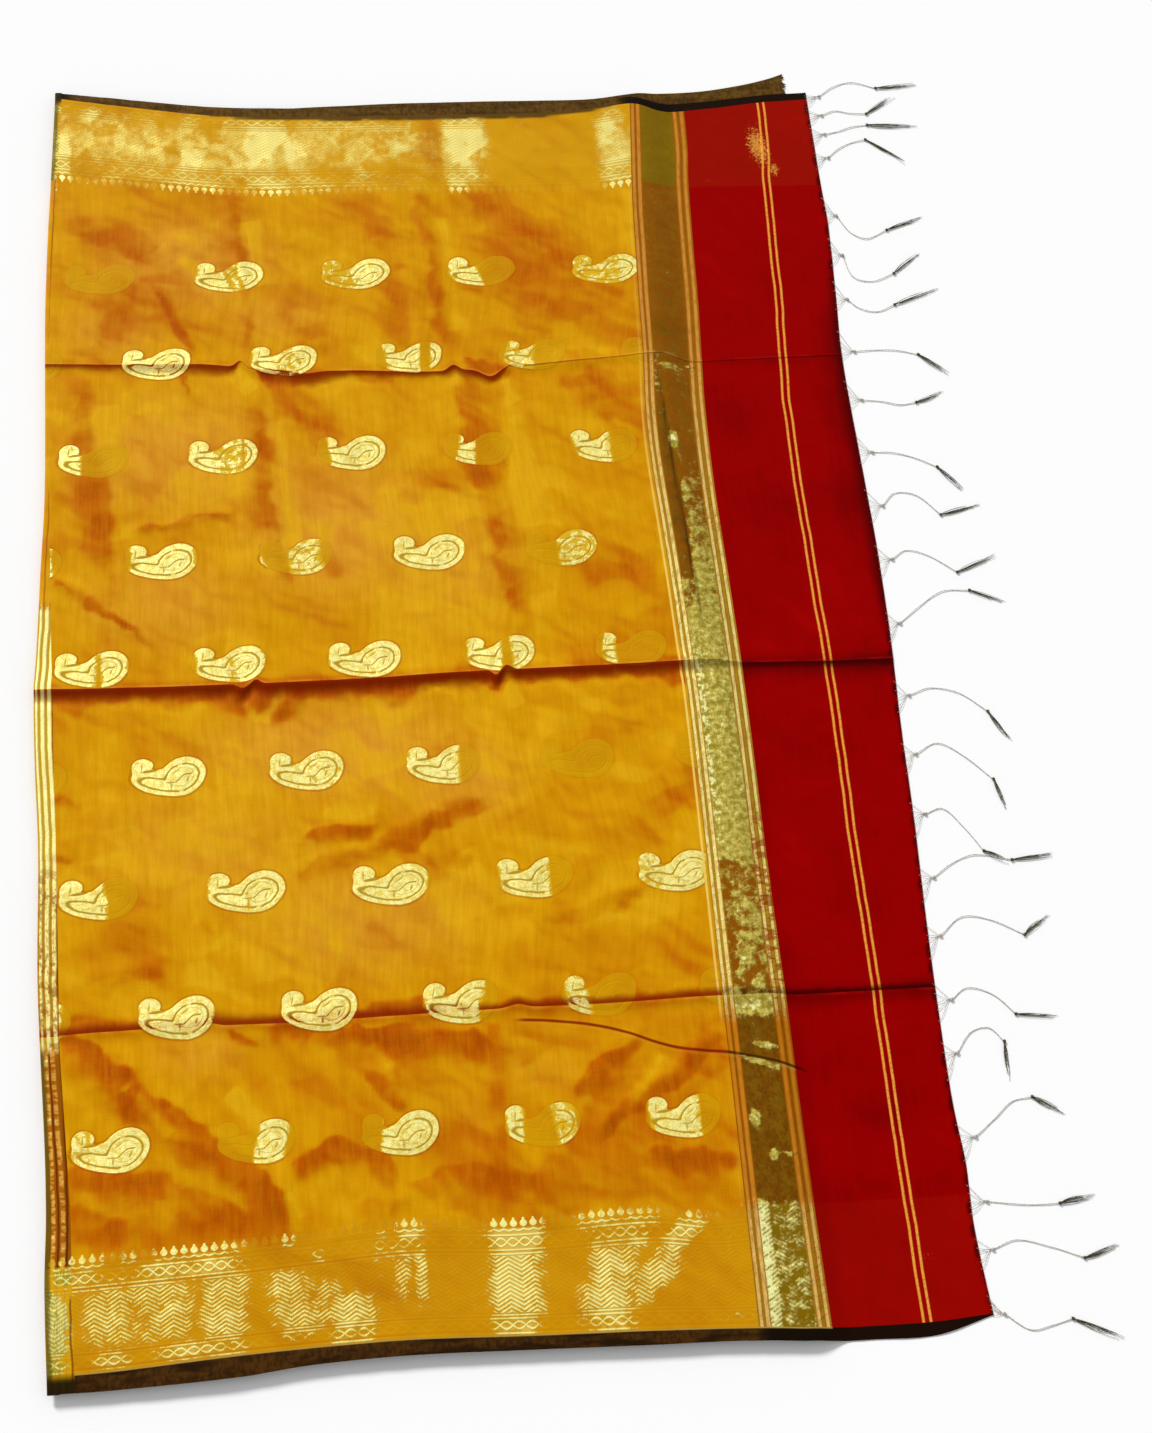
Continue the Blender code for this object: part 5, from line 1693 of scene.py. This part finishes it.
panelStops = ("nearBorder", "nearCrease", "middleCrease", "farCrease", "farBorder")
bandStops = ("nearSelvedge", "nearCrease", "middleCrease", "farCrease", "farSelvedge")
panelNames = ("Near", "MiddleNear", "MiddleFar", "Far")
for number, panel in enumerate(panelNames):
    makeClothPiece(
        "body" + panel, panelStops[number : number + 2], ("strip", "bandStart"),
        "body", ["body_field"], bodyValues, bodyPlace,
    )
    makeClothPiece(
        "band" + panel, bandStops[number : number + 2], ("bandStart", "bandEnd"),
        "band", ["zari_band"], bandValues, bandPlace,
    )
    makeClothPiece(
        "pallu" + panel, bandStops[number : number + 2], ("bandEnd", "palluEnd"),
        "pallu", ["pallu"], palluValues, palluPlace,
    )
makeClothPiece(
    "borderFar", ("farBorder", "farSelvedge"), ("strip", "bandStart"),
    "border", ["border_far"],
    lambda u, v, shade: borderValues(u, v, shade, farBorderGleams), farInward,
)
makeClothPiece(
    "borderNear", ("nearSelvedge", "nearBorder"), ("strip", "bandStart"),
    "border", ["border_near"],
    lambda u, v, shade: borderValues(u, v, shade, nearBorderGleams), nearInward,
)
makeClothPiece(
    "selvedgeFar", ("farSelvedge", "farEdge"), ("strip", "palluEnd"),
    "selvedge", ["selvedge_far"],
    selvedgeValues, lambda u, v: (u, v - widthLine("farSelvedge", u)),
)
makeClothPiece(
    "selvedgeNear", ("nearEdge", "nearSelvedge"), ("strip", "palluEnd"),
    "selvedge", ["selvedge_near"],
    selvedgeValues, lambda u, v: (u, widthLine("nearSelvedge", u) - v),
)
print("the top ply is laid")

# Where the border's corners on the fold are painted pale by a glint: middle, half sizes, turn and amount
cornerGleams = (
    (11, -534, 7.5, 24, 0, 1.3), (9, -516, 6, 14, 20, 1.1), (16, -494, 8, 8, 0, 1.2),
    (22, -480, 7, 5, 0, 1.0), (10, -558, 7, 7, 0, 1.1), (12, 512, 8, 40, 0, 0.9),
    (14, 480, 8, 10, 0, 0.8), (12, 568, 5, 6, 0, 0.7),
)
foldTurn = {"radius": 1.7, "wall": 0.9, "back": 9.0, "steps": 12}


def makeFold(name, rowEnds):
    # a hooked wall: flat over the stack, round the turn, and back under it
    rows = rowsBetween(*rowEnds)
    u, v = crossings(rows, columnsBetween("fold", "strip"))
    topU, topV = u[:, ::-1], v[:, ::-1]
    _, top, shade = clothHeights(topU, topV)
    radius, wall = foldTurn["radius"], foldTurn["wall"]
    turns = np.linspace(0, np.pi, foldTurn["steps"] + 1)[1:]
    lift = top[:, :1]
    flatU = topU[:, :1] - (topU[:, :1] - topU[:, -1:] - radius) * np.linspace(0, 1, 6)[None]
    flatTop = lift + (top[:, -1:] - lift) * np.linspace(0, 1, 6)[None]
    edgeTop = top[:, -1:]
    centreU, centreZ = topU[:, -1:] + radius, edgeTop - radius
    roundU = centreU - radius * np.sin(turns)[None]
    roundZ = centreZ + radius * np.cos(turns)[None]
    backU = centreU + (foldTurn["back"] - radius) * np.linspace(0.25, 1, 4)[None]
    backZ = np.repeat(edgeTop - 2 * radius, 4, 1)
    inner = radius - wall
    outerU = np.concatenate([flatU, roundU, backU], 1)
    outerZ = np.concatenate([flatTop, roundZ, backZ], 1)
    innerU = np.concatenate([flatU, centreU - inner * np.sin(turns)[None], backU], 1)
    innerZ = np.concatenate([flatTop - wall, centreZ + inner * np.cos(turns)[None], backZ + wall], 1)
    fullV = np.repeat(topV[:, -1:], outerU.shape[1], 1)
    arc = np.hypot(np.diff(outerU), np.diff(outerZ)).sum(1)
    # the mesh's columns run from under the turn to the strip, so that its faces point out
    flipped = [array[:, ::-1] for array in (outerU, outerZ, innerU, innerZ, fullV)]
    outerU, outerZ, innerU, innerZ, fullV = flipped
    mesh, index = makeSheetMesh(name, outerU, fullV, innerZ, outerZ)
    count = len(mesh.vertices)
    coordinates = np.empty(count * 3, np.float32)
    mesh.vertices.foreach_get("co", coordinates)
    coordinates = coordinates.reshape(-1, 3)
    isInner = np.abs(coordinates[:, 2] - innerZ.ravel()[index] * mm) < 1e-7
    isInner &= np.abs(innerZ.ravel()[index] - outerZ.ravel()[index]) > 1e-9
    coordinates[isInner, 0] = (innerU.ravel()[index][isInner] - originShift[0]) * mm
    mesh.vertices.foreach_set("co", coordinates.ravel())
    mesh.update()
    values = commonAttributes(outerU, fullV, shade[:, -1:] + np.zeros_like(outerU))
    onTop = np.arange(outerU.shape[1]) >= outerU.shape[1] - flatU.shape[1]
    around = np.where(onTop[None], outerU - topU[:, -1:], -1.0)
    values["bloom"] = np.zeros_like(outerU)
    stops = (-330, -322, -305, -295, -190, -170, 50, 66)
    shine = np.interp(fullV, stops, (0.2, 1, 1, 0.55, 0.6, 1, 0.9, 0.1))
    values["shine"] = np.where(np.abs(fullV) > 468, spotMask(outerU, fullV, cornerGleams), shine)
    flatSpots = np.maximum(outerU, 0)
    values["inward"] = np.where(fullV > 0, farInward(flatSpots, fullV)[1], nearInward(flatSpots, fullV)[1])
    values["dusk"] = np.clip(eased((-562 - fullV) / 8) + eased((fullV - 572) / 8), 0, 1)
    dressMesh(mesh, index, values, (around, fullV))
    piece = addPiece(name, mesh, materials["fold"], ["fold_edge"])
    flat = (float(arc.mean()) * mm, float(np.ptp(fullV[:, 0])) * mm)


foldStops = ("nearEdge", "nearCrease", "middleCrease", "farCrease", "farEdge")
for number, panel in enumerate(panelNames):
    makeFold("fold" + panel, foldStops[number : number + 2])
print("the left fold is turned")

# The hidden plies from the top one down: how far each edge stands back from the edge of the top ply
plySetbacks = (
    # left, right, near, far
    (11.5, 0.0, 2.6, 3.4),
    (11.0, -1.5, 1.4, 5.2),
    (1.2, -4.5, 3.6, 2.4),
    (2.6, -6.5, 1.8, 4.4),
    (0.9, -9.5, 4.2, 2.8),
    (3.0, -11.5, 2.2, 4.8),
    (1.6, -14.5, 3.0, 3.2),
)
plyEdge = {"groove": 1.1, "shoulder": 0.3, "steps": 110, "wander": 0.9, "size": 28, "seed": 210}


def makeHiddenPlies(name, rowEnds, openSide):
    # half of the stack under the top ply: each ply shows as a rounded, slightly wavy edge
    rows = rowsBetween(*rowEnds)[::3]
    last = len(rows) - 1
    steps = plyEdge["steps"]
    builder = gridWithIndices(steps, last)
    column, row = (builder.verts.layers.int[key] for key in ("column", "row"))

    def place(setback, seed):
        left, right, near, far = setback
        share = np.linspace(0, 1, steps + 1)[None] * np.ones((len(rows), 1))
        u = np.full(share.shape, 350.0)
        v = np.zeros_like(u)
        for _ in range(5):
            fillRows(rows, u, v)
            if openSide == "near":
                v[0] += near + plyEdge["wander"] * waves(u[0], v[0] * 0, plyEdge["size"], seed)
            else:
                v[-1] -= far + plyEdge["wander"] * waves(u[-1], v[-1] * 0, plyEdge["size"], seed)
            ragged = plyEdge["wander"] * waves(v * 0, v, 30, seed + 50)
            low = lengthLine("fold", v) + left + ragged
            high = lengthLine("stackEnd", v) - right + ragged
            u = low * (1 - share) + high * share
        return u, v

    topU, topV = place(tuple(value + plyEdge["groove"] for value in plySetbacks[0]), 200)
    topZ = stack["height"] + swell(topU, topV)

    def move(verts, u, v, z):
        for vert in verts:
            i, j = vert[row], vert[column]
            vert.co = ((u[i, j] - originShift[0]) * mm, (v[i, j] - originShift[1]) * mm, z[i, j] * mm)

    heights = np.where(np.isin(np.arange(steps + 1), (0, steps))[None], stack["height"], topZ)
    openRow = 0 if openSide == "near" else last
    heights[openRow] = stack["height"]
    move(builder.verts, topU, topV, heights)
    edges = [edge for edge in builder.edges if edge.is_boundary]
    for ply, setback in enumerate(plySetbacks):
        floorLevel = stack["height"] - (ply + 1)
        following = plySetbacks[min(ply + 1, len(plySetbacks) - 1)]
        groove = tuple(max(a, b) + plyEdge["groove"] for a, b in zip(setback, following))
        shoulder = tuple(value + plyEdge["shoulder"] for value in setback)
        seed = plyEdge["seed"] + ply
        for level, at in ((0.78, shoulder), (0.5, setback), (0.22, shoulder), (0.0, groove)):
            u, v = place(at, seed)
            lift = np.full_like(u, floorLevel + level)
            if level > 0:
                lift = lift + 0.12 * waves(u, v, 35, seed + 90)
            extruded = bmesh.ops.extrude_edge_only(builder, edges=edges)["geom"]
            edges = [item for item in extruded if isinstance(item, bmesh.types.BMEdge)]
            move([item for item in extruded if isinstance(item, bmesh.types.BMVert)], u, v, lift)
    bmesh.ops.contextual_create(builder, geom=edges)
    bmesh.ops.recalc_face_normals(builder, faces=builder.faces[:])
    bmesh.ops.triangulate(builder, faces=[face for face in builder.faces if len(face.verts) > 4])
    mesh = meshFrom(builder, name)
    rowNumber, columnNumber = takeLayers(mesh, "row", "column")
    side = (rowNumber == openRow) & (columnNumber > 0) & (columnNumber < steps)
    paintPoints(mesh, {"dusk": side.astype(float)})
    smooth(mesh, 70)
    piece = addPiece(name, mesh, materials["ply"], ["hidden_layers"])
    width = float(np.ptp(topV[:, steps // 2])) * mm


makeHiddenPlies("hiddenPliesNear", ("nearEdge", "middleCrease"), "near")
makeHiddenPlies("hiddenPliesFar", ("middleCrease", "farEdge"), "far")
print("the hidden plies are stacked")

lowerPly = {
    "u": (205, 240, 320, 400, 450, 500, 544, 563, 606, 646, 672, 684),
    "outer": (571, 573, 576, 577, 577, 578, 584, 583, 585, 592, 599, 604),
    "leaves": 530,
    "columns": 180,
    "rows": 24,
    "fray": 3.2,
    "thickness": 0.7,
}


def makeLowerPly():
    # the strip of a lower ply that shows past the far edge, its cut end frayed
    first, last = lowerPly["u"][0], lowerPly["u"][-1]
    share = np.linspace(0, 1, lowerPly["rows"] + 1)[:, None]
    u = np.linspace(first, last, lowerPly["columns"] + 1)[None] + 0 * share
    outer = smoothCurve(lowerPly["u"], lowerPly["outer"], u)
    # beside the stack its inner edge follows the lowest ply's
    lowest = plyEdge["seed"] + len(plySetbacks) - 1
    nested = 0.2 - plySetbacks[-1][3] - plyEdge["wander"] * waves(u, u * 0, plyEdge["size"], lowest)
    inner = widthLine("farEdge", u) + nested + (0.3 - nested) * eased((u - lowerPly["leaves"]) / 20)
    v = inner * (1 - share) + outer * share
    teeth = np.random.default_rng(31).uniform(-0.4, 0.8, (lowerPly["rows"] + 1, 1))
    frayed = eased((u - last + 9) / 9)
    u = u + frayed * lowerPly["fray"] * (teeth + 0.2 * waves(u, v * 4, 5, 301))
    top = lowerPly["thickness"] + 0.25 + 0.2 * waves(u, v, 25, 302)
    top = top + 0.35 * frayed * (1 + waves(u * 0, v, 3, 303))
    under = np.maximum(top - lowerPly["thickness"], 0.02)
    mesh, index = makeSheetMesh("lowerPlyFar", u, v, under, top)
    values = {
        "dusk": np.zeros_like(u),
        "fromStart": np.full_like(u, -50.0),
        "toEnd": np.full_like(u, 50.0),
        "below": np.full_like(u, farAway),
        "above": np.full_like(u, farAway),
    }
    dressMesh(mesh, index, values, (u, v - inner + 3))
    piece = addPiece("lowerPlyFar", mesh, materials["selvedge"], ["lower_ply_far"])
    width = max(float((outer - inner).mean()) * mm, leastFlat)


makeLowerPly()

# The tassels from the far corner to the near one
tassels = (
    # root v, gather half width, knot u and v, cord's two bends, tail knot, tip
    (572, 5, 717, 577, 732, 588, 750, 593, 773, 586, 814, 590),
    (553, 7, 717, 555, 730, 560, 744, 557, 760, 556, 790, 577),
    (530, 7, 717, 533, 730, 536, 744, 541, 759, 543, 806, 540),
    (503, 8, 717, 506, 728, 516, 742, 523, 755, 526, 791, 497),
    (446, 12, 716, 440, 727, 421, 741, 414, 761, 423, 798, 436),
    (401, 12, 716, 396, 723, 372, 740, 367, 761, 375, 788, 396),
    (351, 12, 714, 348, 724, 338, 740, 334, 757, 341, 799, 358),
    (298, 12, 713, 292, 732, 293, 752, 292, 771, 287, 797, 264),
    (246, 12, 713, 241, 730, 239, 747, 235, 762, 237, 789, 247),
    (192, 12, 715, 187, 733, 186, 752, 180, 771, 170, 791, 146),
    (133, 12, 717, 133, 729, 145, 748, 142, 767, 122, 804, 131),
    (78, 12, 718, 80, 731, 88, 750, 82, 773, 65, 809, 80),
    (14, 12, 716, 18, 736, 34, 757, 47, 781, 47, 812, 33),
    (-52, 12, 714, -50, 733, -44, 757, -50, 779, -68, 795, -98),
    (-108, 12, 712, -104, 731, -95, 750, -106, 774, -130, 781, -158),
    (-162, 12, 712, -158, 727, -154, 742, -171, 756, -193, 778, -205),
    (-220, 12, 711, -214, 727, -203, 747, -196, 778, -202, 813, -199),
    (-270, 12, 709, -264, 729, -249, 752, -253, 778, -267, 801, -251),
    (-320, 12, 710, -318, 724, -309, 744, -316, 760, -333, 794, -337),
    (-368, 12, 708, -362, 721, -346, 736, -343, 747, -355, 746, -388),
    (-434, 12, 712, -430, 729, -417, 745, -404, 762, -401, 788, -418),
    (-480, 9, 713, -481, 732, -484, 750, -486, 770, -486, 801, -481),
    (-521, 9, 712, -518, 731, -512, 757, -519, 782, -529, 810, -521),
    (-560, 6, 713, -567, 731, -580, 748, -578, 765, -574, 802, -592),
)
thread = {
    "cord": 0.24,  # radius of one of a cord's two plies
    "ply": 0.2,  # how far each ply lies from the cord's middle
    "twist": 3.4,  # length of one full turn
    "root": 0.16,
    "roots": 5,
    "strand": 0.22,
    "strands": 11,
    "lift": 0.55,
    "knot": 0.46,
    "knotTurns": 3,
    "knotSizes": (1.7, 1.5),
    "points": {"cord": 90, "root": 9, "tuft": 8, "knot": 40},
}
tasselsInPiece = 6


def addSpline(curve, points, radii):
    spline = curve.splines.new("POLY")
    spline.points.add(len(points) - 1)
    for node, point, radius in zip(spline.points, points, radii):
        node.co = (*point, 1)
        node.radius = radius


def cordRoute(tassel, count):
    spots = [(tassel[k], tassel[k + 1]) for k in (2, 4, 6, 8)]
    stations = np.concatenate([[0], np.cumsum([math.dist(a, b) for a, b in zip(spots, spots[1:])])])
    at = np.linspace(0, stations[-1], count)
    us = smoothCurve(stations, [spot[0] for spot in spots], at)
    vs = smoothCurve(stations, [spot[1] for spot in spots], at)
    return us, vs, at


def onFloor(u, v, z):
    return ((u - originShift[0]) * mm, (v - originShift[1]) * mm, z * mm)


def makeTassels(name, numbers):
    parts = {"cord": [], "root": [], "tuft": []}
    rng = np.random.default_rng(900 + numbers[0])
    points = thread["points"]
    for number in numbers:
        tassel = tassels[number]
        rootV, gather, knotU, knotV = tassel[:4]
        us, vs, at = cordRoute(tassel, points["cord"])
        headings = np.stack([np.gradient(us), np.gradient(vs)], 1)
        headings /= np.linalg.norm(headings, axis=1)[:, None]
        lift = thread["lift"] + 0.35 * np.abs(np.sin(at / 9 + number))
        for half in (0, math.pi):
            angle = at * 2 * math.pi / thread["twist"] + half
            swing, rise = thread["ply"] * np.cos(angle), thread["ply"] * np.sin(angle)
            path = [
                onFloor(u - h[1] * a, v + h[0] * a, z)
                for u, v, h, a, z in zip(us, vs, headings, swing, lift + rise)
            ]
            parts["cord"].append((path, [thread["cord"]] * len(path)))
        for k in range(thread["roots"]):
            across = (k / (thread["roots"] - 1) - 0.5) * 2
            startV = rootV + gather * 1.25 * across + rng.uniform(-1.5, 1.5)
            edge = float(lengthLine("palluEnd", startV))
            steps = np.linspace(0, 1, points["root"])
            u = (edge - 1.5) * (1 - steps) + knotU * steps + 0.6 * np.sin(steps * 5 + k)
            v = startV + (knotV - startV) * eased(steps ** 0.8)
            v = v + rng.uniform(-0.5, 0.5) * np.sin(steps * math.pi)
            z = 0.9 * (1 - steps) + thread["lift"] * steps + 0.5 * np.sin(steps * math.pi)
            path = [onFloor(*point) for point in zip(u, v, z)]
            parts["root"].append((path, [thread["root"]] * len(path)))
        tail, tip = np.array(tassel[8:10], float), np.array(tassel[10:12], float)
        reach = np.linalg.norm(tip - tail)
        out = (tip - tail) / reach
        aside = np.array((-out[1], out[0]))
        for k in range(thread["strands"]):
            across = rng.uniform(-1, 1)
            far = reach * rng.uniform(0.55, 1.02)
            steps = np.linspace(0, 1, points["tuft"])
            bend = rng.uniform(-1.2, 1.2)
            spreadOut = 1.9 * across * np.sqrt(steps) + bend * np.sin(steps * 3) * 1.3
            path = tail[None] + out[None] * (far * steps)[:, None] + aside[None] * spreadOut[:, None]
            z = thread["lift"] + 0.9 * (1 - steps) * rng.uniform(0, 1) + 0.2
            path = [onFloor(*spot, height) for spot, height in zip(path, z)]
            parts["tuft"].append((path, list(thread["strand"] * (1.1 - 0.6 * steps))))
        knots = (("cord", np.array((knotU, knotV)), headings[0]), ("tuft", tail, out))
        for (kind, centre, heading), size in zip(knots, thread["knotSizes"]):
            turns = np.linspace(0, 2 * math.pi * thread["knotTurns"], points["knot"])
            sideways = np.array((-heading[1], heading[0]))
            run = np.linspace(-1.1, 1.1, points["knot"]) * size * 0.7
            rim = size * 0.62 * np.sqrt(np.clip(1 - (run / (size * 0.95)) ** 2, 0.15, 1))
            path = centre[None] + heading[None] * run[:, None]
            path = path + sideways[None] * (rim * np.cos(turns))[:, None]
            z = np.maximum(thread["lift"] + 0.55 + rim * np.sin(turns), 0.5)
            path = [onFloor(*spot, height) for spot, height in zip(path, z)]
            parts[kind].append((path, [thread["knot"]] * len(path)))
    meshes = []
    for kind, tubes in parts.items():
        curve = bpy.data.curves.new(name + kind, "CURVE")
        curve.dimensions = "3D"
        curve.bevel_depth = mm
        curve.bevel_resolution = 1
        curve.use_fill_caps = True
        for points, radii in tubes:
            addSpline(curve, points, radii)
        shape = bpy.data.objects.new(name + kind, curve)
        scene.collection.objects.link(shape)
        graph = bpy.context.evaluated_depsgraph_get()
        meshes.append((kind, bpy.data.meshes.new_from_object(shape.evaluated_get(graph))))
        bpy.data.objects.remove(shape)
        bpy.data.curves.remove(curve)
    builder = bmesh.new()
    marks = {key: builder.verts.layers.float.new(key) for key in ("tuft", "root")}
    for kind, part in meshes:
        before = len(builder.verts)
        builder.from_mesh(part)
        builder.verts.ensure_lookup_table()
        if kind in marks:
            for vert in builder.verts[before:]:
                vert[marks[kind]] = 1.0
        bpy.data.meshes.remove(part)
    bmesh.ops.remove_doubles(builder, verts=builder.verts[:], dist=1e-7)
    bmesh.ops.recalc_face_normals(builder, faces=builder.faces[:])
    for vert in builder.verts:
        vert.co.z = max(vert.co.z, 0.00005)
    mesh = meshFrom(builder, name)
    mesh.shade_smooth()
    addPiece(name, mesh, materials["fringe"], ["fringe"])
    print(name, len(mesh.polygons), "faces")


for number, name in enumerate(("tasselsFar", "tasselsMiddleFar", "tasselsMiddleNear", "tasselsNear")):
    makeTassels(name, range(number * tasselsInPiece, (number + 1) * tasselsInPiece))
print("the tassels are tied")

shown = [obj.data for obj in bpy.data.objects if obj.type == "MESH" and not obj.hide_render]
for mesh in shown:
    mesh.calc_loop_triangles()
print("triangles shown:", sum(len(mesh.loop_triangles) for mesh in shown))
